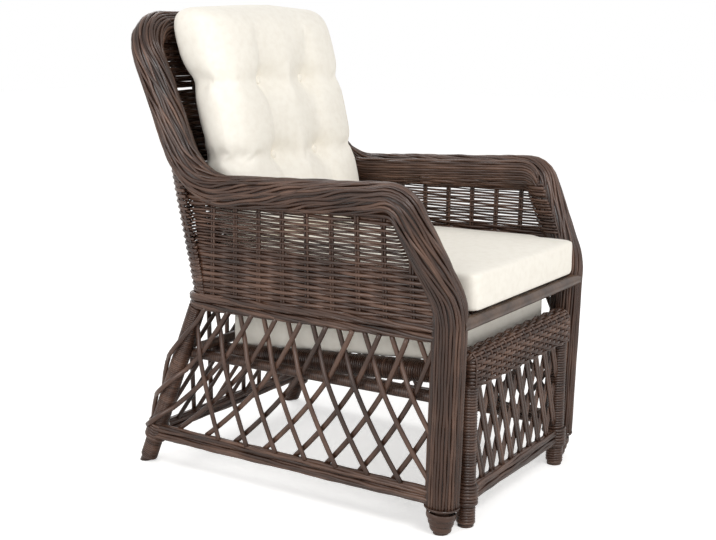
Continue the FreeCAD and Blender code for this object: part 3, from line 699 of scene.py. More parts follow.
@dataclass(frozen=True)
class Winding:
    """Cane wound round a pole, turn on turn."""

    pitch: float
    half_out: float
    marks_per_turn: int = 20
    sides: int = 5
    cover: float = 0.53
    shades: tuple = (0.15, 0.7)

    def wind(self, base: np.ndarray, head: np.ndarray, base_r: float, head_r: float, seed: int) -> Surface:
        """Wind from one end of a pole to the other.

        A point is the pole's axis at its share of the height, plus the radius there times
        (cos(turn), sin(turn)) in the plane square to the axis.

        Args:
            base: lower end of the winding's axis.
            head: upper end.
            base_r: radius of the cane's centre at the base.
            head_r: radius at the head.
            seed: seed of the tint.

        Returns:
            The winding.
        """
        axis = unit(head - base)
        length = float(np.linalg.norm(head - base))
        turns = length / self.pitch
        share = np.linspace(0, 1, int(turns * self.marks_per_turn) + 2)
        first = unit(np.cross(axis, SKEW))
        second = np.cross(axis, first)
        turn = 2 * np.pi * turns * share
        radial = np.cos(turn)[:, None] * first + np.sin(turn)[:, None] * second
        radius = (base_r + (head_r - base_r) * share)[:, None]
        path = base + axis * (share * length)[:, None] + radius * radial
        wound = canes(path[None], radial[None], self.half_out, self.cover * self.pitch, seed, self.sides)
        mark = np.arange(len(path)) // self.marks_per_turn
        shades = np.random.default_rng(seed).random(mark[-1] + 1) * self.shades[1] + self.shades[0]
        wound.tint = np.repeat(shades[mark], self.sides)
        return wound


@dataclass
class RolledBorder:
    """Roll of canes up the front leg, along the arm, up the back and over its top."""

    foot: tuple = (260.0, -350.0)
    foot_z: float = 56.0
    knee: tuple = (260.0, -363.0, 441.0)
    arm_front: tuple = (290.0, -276.0, 626.0)
    arm_rear: tuple = (262.0, 233.0, 606.0)
    top: tuple = (262.0, 367.0, 930.0)
    bends: tuple = (90.0, 42.0, 135.0, 65.0)
    roll_r: float = 33.0
    core_r: float = 28.6
    cane_half: tuple = (3.1, 3.1 * 1.02)
    canes: int = 33
    twist: float = 1300.0
    straight_leg: float = 350.0
    sway: float = 0.15
    sway_waves: tuple = (260.0, 240.0)
    lift: float = 1.1
    lift_wave: float = 190.0
    step: float = 10.0
    lap: float = 2.0
    free_from: float = 0.6
    least_free: float = 0.3
    least_square: float = 0.05

    def leg_y(self, z: float) -> float:
        """Place of the front leg's centre line at a height."""
        return self.foot[1] + (self.knee[1] - self.foot[1]) * z / self.knee[2]

    def centre_line(self) -> np.ndarray:
        """Centre line of the left roll, from the foot to the end of the top bend.

        Returns:
            The points.
        """
        x, y, z = self.top
        first = (self.foot[0], self.leg_y(self.foot_z), self.foot_z)
        last = (x - self.bends[-1], y, z)
        corners = np.array([first, self.knee, self.arm_front, self.arm_rear, self.top, last])
        return filleted(corners, self.bends, self.step)

    def lay(self, path: np.ndarray, turn: np.ndarray, reach: np.ndarray) -> Surface:
        """Lay canes and a core in the darkest tint, painted shade in the gaps between them, along a centre
        line.

        A cane's centre is the line plus its reach times (cos(turn) inward + sin(turn) across). Across
        is the line's direction crossed with X, or where that vanishes, the back's rake crossed with X.

        Args:
            path: centre line.
            turn: place of each cane round the line, shaped (canes, marks).
            reach: distance of each cane from the line, likewise.

        Returns:
            The roll.
        """
        along = unit(np.gradient(path, axis=0))
        square = np.cross(along, ACROSS)
        size = np.linalg.norm(square, axis=1, keepdims=True)
        rake = unit(np.array(self.top) - np.array(self.arm_rear))
        last = unit(np.cross(rake * np.array([0, 1, 1]), ACROSS))
        across = unit(np.where(size > self.least_square, square, last))
        inward = np.cross(across, along)
        radial = np.cos(turn)[..., None] * inward + np.sin(turn)[..., None] * across
        rolled = canes(path + reach[..., None] * radial, radial, *self.cane_half, seed=11)
        # the core's darkest tint paints the shade in the gaps between the canes
        core = canes(path[None], across[None], self.core_r, self.core_r, seed=12, sides=12)
        return Surface.joined([rolled, core.dark()])

    def wander(self, place: np.ndarray) -> tuple:
        """Turn and reach of each cane along the roll: upright on the leg, then twisting and swaying.

        Args:
            place: distances along the roll.

        Returns:
            Turns and reaches, shaped (canes, marks).
        """
        free = np.clip(place / self.straight_leg - self.free_from, self.least_free, 1)
        turn = 2 * np.pi * np.arange(self.canes)[:, None] / self.canes
        turn = turn + 2 * np.pi * np.maximum(place - self.straight_leg, 0) / self.twist
        turn = turn + self.sway * free * drift(self.canes, place, self.sway_waves[0], seed=13)
        lift = self.lift * free * drift(self.canes, place, self.lift_wave, seed=14)
        return turn, self.roll_r - self.cane_half[0] + lift

    def build(self, shop: Workshop) -> None:
        """Make both rolls and the roll across the top, whose canes carry on from one side to the other.

        Args:
            shop: takes the pieces.
        """
        left = self.centre_line()
        turn, reach = self.wander(run_length(left))
        shop.put_pairs(Body.CHAIR, ("border_canes_", self.lay(left, turn, reach), "border_"))
        width = 2 * left[-1][0]
        end = left[-1] + self.lap * ACROSS
        share = np.linspace(0, 1, int(width / self.step))
        top = np.linspace(end, end * MIRROR, len(share))
        sway = np.sin(np.pi * share) * drift(self.canes, width * share, self.sway_waves[1], seed=15)
        surface = self.lay(top, turn[:, -1:] + self.sway * sway, reach[:, -1:] + self.lift * np.abs(sway))
        shop.put("border_canes_top", surface, Body.CHAIR, "border_top")


@dataclass
class Legs:
    """Front feet, rear legs and the windings round them."""

    border: RolledBorder
    foot_r: tuple = (18.2, 30.0)
    foot_z: tuple = (8.0, 47.0)
    foot_band: Winding = Winding(12.0, 1.5, 26, 8, cover=0.6)
    collar_z: tuple = (52.0, 57.5)
    collar_r: float = 32.2
    collar_band: Winding = Winding(4.5, 2.2, 26, 6)
    rear_x: float = 265.0
    rear_foot_y: float = 388.0
    rear_slope: float = 166.0 / 385.0
    rear_pole_r: float = 15.0
    rear_wrap_z: tuple = (10.5, 366.0)
    rear_wrap_r: float = 16.7
    rear_wrap: Winding = Winding(4.6, 1.9)
    binding_z: float = 76.0
    binding_half: float = 19.0
    binding_r: float = 21.5
    binding: Winding = Winding(6.6, 3.2, 22, 6)
    pole_below: float = 8.0
    pole_marks: int = 12

    def rear_point(self, z: float) -> np.ndarray:
        """Point on the left rear leg's centre line at a height."""
        return np.array([self.rear_x, self.rear_foot_y - self.rear_slope * z, z])

    def front_point(self, z: float) -> np.ndarray:
        """Point on the left front leg's centre line at a height."""
        return np.array([self.border.foot[0], self.border.leg_y(z), z])

    def tilt(self) -> float:
        """Lean of the rear legs."""
        return math.atan(self.rear_slope)

    def build(self, shop: Workshop) -> None:
        """Make feet of wide flat cane under a collar, rear poles, windings and bindings on both sides.

        Args:
            shop: takes the pieces.
        """
        band = self.foot_band.wind(*map(self.front_point, self.foot_z), *self.foot_r, seed=21)
        low, high = map(self.front_point, self.collar_z)
        collar = self.collar_band.wind(low, high, self.collar_r, self.collar_r, seed=25)
        feet = Surface.joined([band, collar]).both()
        shop.put("front_foot_windings", feet, Body.CHAIR, "front_foot_wraps", "front_foot_bands")
        low, high = map(self.rear_point, self.rear_wrap_z)
        wrap = self.rear_wrap.wind(low, high, self.rear_wrap_r, self.rear_wrap_r, seed=22)
        line = np.linspace(self.rear_point(-self.pole_below), high, self.pole_marks)[None]
        pole = canes(line, ACROSS, self.rear_pole_r, self.rear_pole_r, seed=24, sides=20)
        pole.verts[:, 2] = np.maximum(pole.verts[:, 2], 0.0)
        poles = ("rear_leg_pole_", pole, "rear_leg_")
        shop.put_pairs(Body.CHAIR, poles, ("rear_leg_winding_", wrap, "rear_leg_wrap_"))
        rise = unit(high - low) * self.binding_half
        middle = self.rear_point(self.binding_z)
        tie = self.binding.wind(middle - rise, middle + rise, self.binding_r, self.binding_r, seed=23)
        shop.put("rear_ankle_windings", tie.both(), Body.CHAIR, "rear_rail_bindings")


@dataclass
class Skirt:
    """Waist band, bottom rails and lattice round the lower part of the chair."""

    skirt_x: float = 276.0
    leg_y: float = -357.0
    band_z: tuple = (370.5, 387.5)
    band_rise: float = 10.0
    band_rear_y: float = 250.0
    band_corner: float = 34.0
    band_step: float = 12.0
    rail_z: tuple = (67.5, 84.5)
    rail_twist: float = 1500.0
    lap: float = 4.0
    stake_first_y: float = -295.0
    stake_pitch: float = 59.4
    stakes: int = 9
    head_gap: float = 3.5
    forward: tuple = (-496.0, 74.0)
    backward: tuple = (-97.0, 77.0)
    bow: float = 0.46
    lattice_z: tuple = (90.0, 390.0)
    lattice_end_z: float = 378.0
    cane_half: tuple = (4.0, 5.5)
    rear_half: tuple = (4.5, 5.5)
    layer: float = 4.4
    lacing_z: float = 290.0
    lacing_run: float = 22.0
    leg_reach: float = 27.0
    leg_sink: float = 2.0
    wrap_marks: int = 13
    wrap_start: float = 9.0
    wrap_step: float = 1.6
    draw_in: float = 0.9
    draw_in_after: int = 4
    rear_shift: float = 150.0
    rear_margin: float = 8.0
    band_marks: int = 36
    rail_marks: tuple = (62, 44)
    lattice_marks: tuple = (34, 14)

    def band(self, shop: Workshop) -> None:
        """Two rope rows from the front legs round the rear corners.

        Args:
            shop: takes the pieces.
        """
        maker = RopeMaker()
        x, y = self.skirt_x, self.band_rear_y
        inner = x - 2 * self.band_corner
        sides, rear = [], []
        for z in self.band_z:
            corners = np.array([(x, self.leg_y, z + self.band_rise), (x, y, z), (inner, y, z)])
            sides.append(filleted(corners, (self.band_corner,), self.band_step))
            end = np.array([inner + self.lap, y, z])
            rear.append(np.linspace(end, end * MIRROR, self.band_marks))
        shop.put_pairs(Body.CHAIR, ("waist_ropes_", maker.rows(sides, seed=31), "waist_band_"))
        shop.put("waist_ropes_rear", maker.rows(rear, seed=34), Body.CHAIR, "waist_band_rear")

    def rails(self, shop: Workshop, legs: Legs) -> None:
        """Bottom rails of two rope rows, at the sides and across the back.

        Args:
            shop: takes the pieces.
            legs: gives the place of the rear legs.
        """
        maker = RopeMaker(twist=self.rail_twist)
        middle = legs.rear_point(sum(self.rail_z) / 2)
        upwards = np.array([0.0, -math.sin(legs.tilt()), math.cos(legs.tilt())])
        sides, rear = [], []
        for i, z in enumerate(self.rail_z):
            ends = (self.skirt_x, self.leg_y, z), (self.skirt_x, legs.rear_point(z)[1] - self.lap, z)
            sides.append(np.linspace(*ends, self.rail_marks[0]))
            start = middle + upwards * ((i - 0.5) * (self.rail_z[1] - self.rail_z[0]))
            rear.append(np.linspace(start, start * MIRROR, self.rail_marks[1]))
        shop.put_pairs(Body.CHAIR, ("bottom_rail_canes_", maker.rows(sides, seed=41), "bottom_rail_"))
        shop.put("bottom_rail_canes_rear", maker.rows(rear, seed=44), Body.CHAIR, "bottom_rail_rear")

    def side_lattice(self, legs: Legs) -> Surface:
        """Bowed canes of the left lattice, laced past each other and carried round the rear leg.

        A cane's place along the side is its stake plus its shift times (0.54 s + 0.46 s squared),
        where s grows from 0 at the waist to 1 at the rail. The canes that run down and back lie
        outside above the lacing height and inside below it. Behind the leg they are drawn in, mark by
        mark.

        Args:
            legs: gives the line of the rear leg that ends the panel.

        Returns:
            The lattice.
        """
        low, high = self.lattice_z
        share = np.linspace(0, 1, self.lattice_marks[0])
        z = high + (low - high) * share
        ease = (1 - self.bow) * share + self.bow * share**2
        lace = np.tanh((z - self.lacing_z) / self.lacing_run)
        rear = legs.rear_foot_y - legs.rear_slope * z
        parts = []
        for sign, (first, pitch), start, stop in (
            (-1, self.forward, 0, self.stakes + 1),
            (1, self.backward, -2, self.stakes),
        ):
            i = np.arange(start, stop)[:, None]
            head = self.stake_first_y + self.stake_pitch * i + self.head_gap * sign
            y = head + (first + pitch * i - head) * ease
            depth = self.skirt_x + sign * self.layer * np.broadcast_to(lace, y.shape)
            held = (y > self.leg_y) & (z < self.lattice_end_z)
            if sign > 0:
                past = np.cumsum(y >= rear + self.leg_reach, axis=1)
                reach = self.leg_reach - self.draw_in * np.maximum(past - self.draw_in_after, 0)
                y = np.minimum(y, rear + reach)
                over = np.sqrt(np.maximum(reach**2 - (y - rear) ** 2, 0.0))
                depth = np.where(np.abs(y - rear) < reach, np.maximum(depth, legs.rear_x + over), depth)
                depth = np.where(past > 0, legs.rear_x + self.wrap_start - self.wrap_step * past, depth)
                held &= past < self.wrap_marks
            else:
                held &= y < rear + self.leg_sink
            parts += cut_canes(grid(depth, y, z), held, ACROSS, self.cane_half, seed=50 + len(parts))
        return Surface.joined(parts)

    def rear_lattice(self, legs: Legs) -> Surface:
        """Straight canes of the rear lattice in the sloping plane of the rear legs.

        Args:
            legs: gives that plane.

        Returns:
            The lattice.
        """
        outward = np.array([0.0, math.cos(legs.tilt()), math.sin(legs.tilt())])
        low, high = map(legs.rear_point, self.lattice_z)
        share = np.linspace(0, 1, self.lattice_marks[1])
        line = high + (low - high) * share[:, None]
        stake = (np.arange(-1, self.stakes + 1)[:, None] - (self.stakes - 1) / 2) * self.stake_pitch
        parts = []
        for sign in (1, -1):
            x = stake + sign * self.rear_shift * share
            path = grid(x, line[:, 1], line[:, 2]) + outward * sign * self.layer
            held = np.abs(x) < legs.rear_x - self.rear_margin
            parts += cut_canes(path, held, outward, self.rear_half, seed=80 + len(parts))
        return Surface.joined(parts)

    def build(self, shop: Workshop, legs: Legs) -> None:
        """Make band, rails and lattices.

        Args:
            shop: takes the pieces.
            legs: gives the place of the rear legs.
        """
        self.band(shop)
        self.rails(shop, legs)
        shop.put_pairs(Body.CHAIR, ("lattice_canes_", self.side_lattice(legs), "lattice_"))
        shop.put("lattice_canes_rear", self.rear_lattice(legs), Body.CHAIR, "lattice_rear")


@dataclass
class WovenShell:
    """Woven arms, rear corners and back: weavers that run in and out of pairs of stakes."""

    border: RolledBorder
    skirt_x: float = 276.0
    foot_z: float = 393.0
    base_z: float = 395.0
    waist_z: float = 459.0
    lean_z: float = 800.0
    arm_top_z: float = 604.0
    flank_top_z: float = 690.0
    back_top_z: float = 917.0
    back_y: tuple = (250.0, 262.0, 350.0, 364.0)
    high_half: float = 246.0
    corner_r: float = 50.0
    corner_marks: int = 15
    corner_stakes: tuple = (0.35, 0.8, 1.25)
    stake_first_y: float = -295.0
    stake_pitch: float = 59.4
    stake_below: float = 6.0
    arm_stakes: int = 9
    back_stakes: int = 7
    outer_x: float = 200.0
    row_pitch: float = 6.0
    weaver_r: float = 3.0
    close_half: float = 3.9
    loose_half: float = 2.6
    slit_half: float = 1.7
    loose_z: tuple = (500.0, 574.0)
    open_row_z: float = 577.0
    swing: float = 3.3
    unevenness: float = 0.8
    uneven_wave: float = 330.0
    lining_r: float = 36.5
    lining_z: float = 502.0
    lining_over: float = 15.0
    lining_y: tuple = (-292.0, 175.0)
    lining_line_z: tuple = (575.0, 640.0)
    lining_turn: tuple = (-62.0, 44.0, 9.0)
    lining_swing: float = 1.3
    lining_half: tuple = (2.3, 3.3)
    knee_z: float = 400.0
    stake_r: float = 2.7
    stake_gap: float = 5.6
    arm_marks: int = 84
    back_marks: int = 71
    stake_marks: int = 30
    tall_marks: int = 60

    def back_at(self, z: np.ndarray) -> np.ndarray:
        """Place of the back's middle surface at heights."""
        return np.interp(z, [self.foot_z, self.waist_z, self.lean_z, self.border.top[2]], self.back_y)

    def corner_x(self, z: np.ndarray) -> np.ndarray:
        """Distance of the rear corner's centre from the middle plane at heights."""
        lean = (np.array(z) - self.waist_z) / (self.lean_z - self.waist_z)
        return self.skirt_x - self.corner_r - (self.skirt_x - self.border.arm_rear[0]) * np.clip(lean, 0, 1)

    def arm_x(self, y: np.ndarray, z: np.ndarray) -> np.ndarray:
        """Distance of the arm panel from the middle plane: upright below, under the arm's roll above.

        Args:
            y: places along the arm.
            z: heights, likewise.

        Returns:
            The distances.
        """
        front, rear = self.border.arm_front, self.border.arm_rear
        head = front[0] + (y - front[1]) / (rear[1] - front[1]) * (rear[0] - front[0])
        share = np.clip((z - self.foot_z) / (rear[2] - self.foot_z), 0, 1)
        return self.skirt_x + share * (head - self.skirt_x)

    def roll_y(self, z: np.ndarray) -> np.ndarray:
        """Front end of an arm panel's row: on the leg's roll below, on the back's bend above.

        Args:
            z: heights of the rows.

        Returns:
            Places along Y.
        """
        border = self.border
        line = border.centre_line()
        behind = line[line[:, 1] > 0]
        behind = behind[np.argsort(behind[:, 2])]
        bend = np.interp(z, behind[:, 2], behind[:, 1])
        knee = np.interp(z, [border.knee[2], border.arm_front[2]], [border.knee[1], border.arm_front[1]])
        return np.where(z < self.arm_top_z, knee, bend)

    def rows(self, low: float, high: float) -> tuple:
        """Numbers and heights of the rows between two levels, counted from the base of all panels.

        Args:
            low: lower level.
            high: upper level.

        Returns:
            Row numbers, and heights as a column.
        """
        first, last = (level - self.base_z for level in (low, high))
        row = np.arange(math.ceil(first / self.row_pitch), math.floor(last / self.row_pitch) + 1)
        return row, (self.base_z + row * self.row_pitch)[:, None]

    def weave(
        self, row: np.ndarray, base: np.ndarray, normal: np.ndarray, stake: np.ndarray, seed: int
    ) -> Surface:
        """Weavers that swing out and in past the stakes.

        A weaver is the panel plus its normal times swing times cos(pi (stake number + row number)),
        with a little uneven rise and fall. Rows of the outer panels are thinner at the arm's open heights.

        Args:
            row: row numbers.
            base: points on the panel, shaped (rows, marks, 3).
            normal: outward direction, one or shaped like base.
            stake: stake number along the rows, shaped (rows, marks).
            seed: seed of tints and wander.

        Returns:
            The weavers.
        """
        swing = self.swing * np.cos(np.pi * (stake + row[:, None]))
        path = base + swing[..., None] * normal
        wander = drift(len(row), stake[0] * self.stake_pitch, self.uneven_wave, seed)
        path = path + self.unevenness * wander[..., None] * UP
        height = self.base_z + row * self.row_pitch
        outer = base[:, 0, 0] > self.outer_x
        loose = (height > self.loose_z[0]) & (height < self.loose_z[1]) & outer
        slit = (np.abs(height - self.open_row_z) < self.row_pitch / 2) & outer
        half = np.where(slit, self.slit_half, np.where(loose, self.loose_half, self.close_half))
        return canes(path, normal, self.weaver_r, half[:, None], seed)

    def inside_roll(self, y: np.ndarray, z: np.ndarray) -> np.ndarray:
        """Distance from the middle plane of a lining laid over the inner side of the roll.

        It is the roll's centre less the square root of (lining radius squared less the distance from
        the roll's centre line in the side view squared), and far outside beyond the roll.

        Args:
            y: places along the arm.
            z: heights, likewise.

        Returns:
            The distances.
        """
        line = self.border.centre_line()
        line = line[(line[:, 1] < 0) & (line[:, 2] > self.knee_z)]
        far = np.hypot(y[..., None] - line[:, 1], z[..., None] - line[:, 2])
        near = far.argmin(-1)
        depth = np.sqrt(np.maximum(self.lining_r**2 - far.min(-1) ** 2, 0.0))
        return np.where(depth > 0, line[near, 0] - depth, np.inf)

    def lining(self) -> Surface:
        """Close rows over the inner side of the arm's roll, parallel to it.

        Returns:
            The rows.
        """
        line = self.border.centre_line()
        for axis, (low, high) in ((1, self.lining_y), (2, self.lining_line_z)):
            line = line[(line[:, axis] > low) & (line[:, axis] < high)]
        turn = np.radians(np.arange(*self.lining_turn))[:, None, None]
        stake = (line[:, 1] - self.stake_first_y) / self.stake_pitch
        wave = self.lining_swing * np.cos(np.pi * (stake + np.arange(len(turn))[:, None]))
        radial = np.sin(turn) * UP - np.cos(turn) * ACROSS
        path = line + (self.lining_r + wave)[..., None] * radial
        return canes(path, radial, *self.lining_half, seed=171)

    def stake_pair(self, line: np.ndarray, across: np.ndarray, normal: np.ndarray, seed: int) -> Surface:
        """Two stakes beside each other on a line of a panel."""
        lines = line + np.array([-1.0, 1.0])[:, None, None] * across * self.stake_gap / 2
        return canes(lines, normal, self.stake_r, self.stake_r, seed)

    def arm(self) -> Surface:
        """Left arm panel.

        Returns:
            Weavers and stakes.
        """
        row, z = self.rows(self.base_z, self.flank_top_z)
        start, stop = self.roll_y(z), self.back_at(z) - self.corner_r
        lined = (z > self.lining_z) & (z < self.arm_top_z)
        start = np.where(lined, start - self.lining_over, start)
        y = start + (stop - start) * np.linspace(0, 1, self.arm_marks)
        x = self.arm_x(y, z)
        inner = self.inside_roll(y, np.broadcast_to(z, y.shape))
        x = np.where(lined & (y < 0), np.minimum(x, inner), x)
        stake = (y - self.stake_first_y) / self.stake_pitch
        parts = [self.weave(row, grid(x, y, z), ACROSS, stake, seed=101), self.lining()]
        z = np.linspace(self.foot_z - self.stake_below, self.arm_top_z, self.stake_marks)
        for i in range(self.arm_stakes):
            y = self.stake_first_y + self.stake_pitch * i
            parts.append(self.stake_pair(grid(self.arm_x(y, z), y, z), BACK, ACROSS, seed=102 + i))
        return Surface.joined(parts)

    def corner(self) -> Surface:
        """Left rear corner.

        Returns:
            Weavers and stakes.
        """
        row, z = self.rows(self.base_z, self.lean_z)
        share = np.linspace(0, 1, self.corner_marks)
        turn = share * np.pi / 2
        middle = grid(self.corner_x(z), self.back_at(z) - self.corner_r, z)
        normal = grid(np.cos(turn), np.sin(turn), 0.0)
        first = (middle[..., 1] - self.stake_first_y) / self.stake_pitch
        last = self.arm_stakes + 1 - (middle[..., 0] / self.stake_pitch - (self.back_stakes - 1) / 2)
        stake = first + (last - first) * share
        parts = [self.weave(row, middle + self.corner_r * normal, normal, stake, seed=131)]
        z = np.linspace(self.foot_z - self.stake_below, self.lean_z, self.stake_marks)
        middle = grid(self.corner_x(z), self.back_at(z) - self.corner_r, z)
        for i, angle in enumerate(self.corner_stakes):
            out = math.cos(angle) * ACROSS + math.sin(angle) * BACK
            parts.append(self.stake_pair(middle + self.corner_r * out, np.cross(UP, out), out, seed=132 + i))
        return Surface.joined(parts)

    def back(self) -> Surface:
        """Back panel: between the corners below, between the rolls above, with one row left out between.

        Returns:
            Weavers and stakes.
        """
        parts = []
        above = self.lean_z + self.row_pitch
        for low, high, seed in ((self.base_z, self.lean_z, 151), (above, self.back_top_z, 152)):
            row, z = self.rows(low, high)
            half = self.corner_x(z) if low < self.lean_z else self.high_half
            x = -half * np.linspace(-1, 1, self.back_marks) + 0 * z
            stake = self.arm_stakes + 1 + (self.back_stakes - 1) / 2 - x / self.stake_pitch
            parts.append(self.weave(row, grid(x, self.back_at(z), z), BACK, stake, seed))
        heights = np.linspace(self.foot_z - self.stake_below, self.back_top_z, self.tall_marks)
        for i in range(self.back_stakes + 2):
            x = (i - (self.back_stakes + 1) / 2) * self.stake_pitch
            z = heights[heights > self.lean_z] if abs(x) > self.outer_x else heights
            parts.append(self.stake_pair(grid(x, self.back_at(z), z), ACROSS, BACK, seed=160 + i))
        return Surface.joined(parts)

    def build(self, shop: Workshop) -> None:
        """Make arms, corners and back.

        Args:
            shop: takes the pieces.
        """
        arms = ("arm_weavers_", self.arm(), "arm_weave_")
        shop.put_pairs(Body.CHAIR, arms, ("corner_weavers_", self.corner(), "corner_weave_"))
        shop.put("back_weavers", self.back(), Body.CHAIR, "back_weave")


@dataclass
class Footrest:
    """Low footrest: wound legs, rope rail, flat-cane lattice and a woven bullnose apron."""

    leg: tuple = (203.0, -372.0)
    wrap_r: float = 16.5
    wrap_z: tuple = (7.0, 280.0)
    wrap: Winding = Winding(5.6, 2.2, 20, 6)
    tie_r: float = 20.8
    tie_half: float = 19.0
    tie: Winding = Winding(6.6, 3.0, 22, 6)
    rail_z: tuple = (56.5, 73.5)
    rail_twist: float = 1200.0
    rail_short: float = 6.0
    panel_y: float = -376.0
    apron_front: float = -392.0
    apron_rear: float = -352.0
    apron_z: tuple = (280.0, 325.0)
    apron_half: float = 217.0
    apron_end_r: float = 15.0
    apron_back: tuple = (9.0, 18.0)
    apron_swing: float = 2.7
    apron_calm: float = 20.0
    apron_stakes: int = 10
    row_pitch: float = 6.6
    weaver_half: tuple = (2.9, 2.9 * 1.12)
    stake_half: tuple = (2.2, 2.6)
    stake_pitch: float = 42.0
    pairs: int = 8
    strand_shift: float = 84.0
    strand_half: tuple = (2.1, 5.0)
    lattice_z: tuple = (80.0, 312.0)
    lattice_margin: float = 14.0
    side_x: float = 200.0
    side_slope: float = 0.074
    side_front_z: float = 297.4
    side_y: tuple = (-350.0, 236.0)
    side_r: float = 19.4
    side_wrap: Winding = Winding(4.8, 2.5, 18, 5)
    rail_marks: int = 36
    apron_marks: tuple = (96, 8)
    strand_marks: int = 14

    def legs(self, shop: Workshop) -> None:
        """Windings of the legs, their bindings and the rope rail between them.

        Args:
            shop: takes the pieces.
        """
        low, high = (np.array([*self.leg, z]) for z in self.wrap_z)
        wrap = self.wrap.wind(low, high, self.wrap_r, self.wrap_r, seed=201)
        shop.put_pairs(Body.FOOTREST, ("footrest_leg_winding_", wrap, "footrest_leg_wrap_"))
        middle = np.array([*self.leg, sum(self.rail_z) / 2])
        rise = self.tie_half * UP
        tie = self.tie.wind(middle - rise, middle + rise, self.tie_r, self.tie_r, seed=202)
        shop.put("footrest_ankle_windings", tie.both(), Body.FOOTREST, "footrest_rail_bindings")
        ends = [np.array([self.leg[0] - self.rail_short, self.panel_y, z]) for z in self.rail_z]
        rows = [np.linspace(end, end * MIRROR, self.rail_marks) for end in ends]
        ropes = RopeMaker(twist=self.rail_twist).rows(rows, seed=203)
        shop.put("footrest_rail_canes", ropes, Body.FOOTREST, "footrest_bottom_rail")

    def apron(self) -> Surface:
        """Rows of weavers up the front and over the top, with rounded ends.

        A weaver lies on the apron's section, a straight wall and a half round, and swings by cos(pi
        (stake number + row number)) along the section's normal. Near its ends it turns inwards on a
        quarter circle and runs on backwards.

        Returns:
            The apron.
        """
        roll = (self.apron_rear - self.apron_front) / 2
        wall = self.apron_z[1] - self.apron_z[0]
        rows = np.arange(int((wall + math.pi * roll) / self.row_pitch) + 1)
        place = rows * self.row_pitch
        swing = np.clip((place - wall) / roll, 0, math.pi)
        y = self.apron_front + roll - roll * np.cos(swing)
        z = np.minimum(self.apron_z[0] + place, self.apron_z[1]) + roll * np.sin(swing)
        normal = grid(0.0, -np.cos(swing), np.sin(swing))
        end_r = self.apron_end_r
        flat = self.apron_half - end_r
        inner = np.linspace(-flat, flat, self.apron_marks[0])
        bend = np.linspace(0, np.pi / 2, self.apron_marks[1])[1:]
        reach = np.append(flat + end_r * np.sin(bend), [self.apron_half] * len(self.apron_back))
        drop = np.append(end_r * (1 - np.cos(bend)), end_r + np.array(self.apron_back))
        x = np.concatenate([-reach[::-1], inner, reach])
        sink = np.concatenate([drop[::-1], np.zeros_like(inner), drop])
        wave = self.apron_swing * np.cos(np.pi * (x / self.stake_pitch * 2 + rows[:, None]))
        wave = wave * np.clip((self.apron_half - np.abs(x)) / self.apron_calm, 0, 1)
        lift = (wave - sink)[..., None] * normal[:, None, :]
        path = grid(x, y[:, None], z[:, None]) + lift
        parts = [canes(path, normal[:, None, :], *self.weaver_half, seed=211)]
        for i in range(2 * self.apron_stakes + 1):
            line = grid((i - self.apron_stakes) * self.stake_pitch / 2, y, z)
            parts.append(canes(line[None], normal[None], *self.stake_half, seed=212 + i))
        return Surface.joined(parts)

    def lattice(self) -> Surface:
        """Pairs of flat canes of the front lattice in two layers.

        Returns:
            The lattice.
        """
        share = np.linspace(0, 1, self.strand_marks)
        low, high = self.lattice_z
        out, across = self.strand_half
        stake = (np.arange(-2, self.pairs + 2)[:, None] - (self.pairs - 1) / 2) * self.stake_pitch
        parts = []
        for sign in (1, -1):
            x = stake + sign * self.strand_shift * share
            path = grid(x, self.panel_y - sign * out, high + (low - high) * share)
            held = np.abs(x) < self.leg[0] - self.lattice_margin
            apart = (-across * ACROSS, across * ACROSS)
            seed = 240 + len(parts)
            parts += cut_canes(path, held, -BACK, self.strand_half, seed, apart, least=3)
        return Surface.joined(parts)

    def side_rail(self) -> Surface:
        """Close winding of the left side rail.

        Returns:
            The winding.
        """
        y = np.array(self.side_y)
        ends = grid(self.side_x, y, self.side_front_z - self.side_slope * (y - self.leg[1]))
        return self.side_wrap.wind(*ends, self.side_r, self.side_r, seed=261)

    def build(self, shop: Workshop) -> None:
        """Make the footrest's cane pieces.

        Args:
            shop: takes the pieces.
        """
        self.legs(shop)
        shop.put("footrest_apron_weavers", self.apron(), Body.FOOTREST, "footrest_apron")
        shop.put("footrest_lattice_canes", self.lattice(), Body.FOOTREST, "footrest_lattice")
        shop.put_pairs(Body.FOOTREST, ("footrest_side_winding_", self.side_rail(), "footrest_side_wrap_"))


@dataclass
class Poles:
    """CAD poles that stay in view, by the axis that their rings run along."""

    single: tuple = (
        ("X", "seat_rear_rail"),
        ("X", "footrest_front_rail"),
        ("X", "footrest_crossbar"),
        ("X", "footrest_slats"),
        ("Y", "seat_slats"),
    )
    paired: tuple = (
        ("Y", "seat_side_rail_"),
        ("Y", "runner_"),
        ("Y", "footrest_side_rail_"),
        ("Z", "front_leg_"),
        ("Z", "back_post_"),
        ("Z", "footrest_leg_"),
    )

    def dress(self, shop: Workshop) -> None:
        """Give each pole its finish.

        Args:
            shop: holds the finishes.
        """
        both = [(axis, node + side.value) for axis, node in self.paired for side in Side]
        for axis, node in [*self.single, *both]:
            shop.dress_node(node, shop.finishes.pole[axis])
        shop.dress_node("seat_front_rail", shop.finishes.seat_rail)


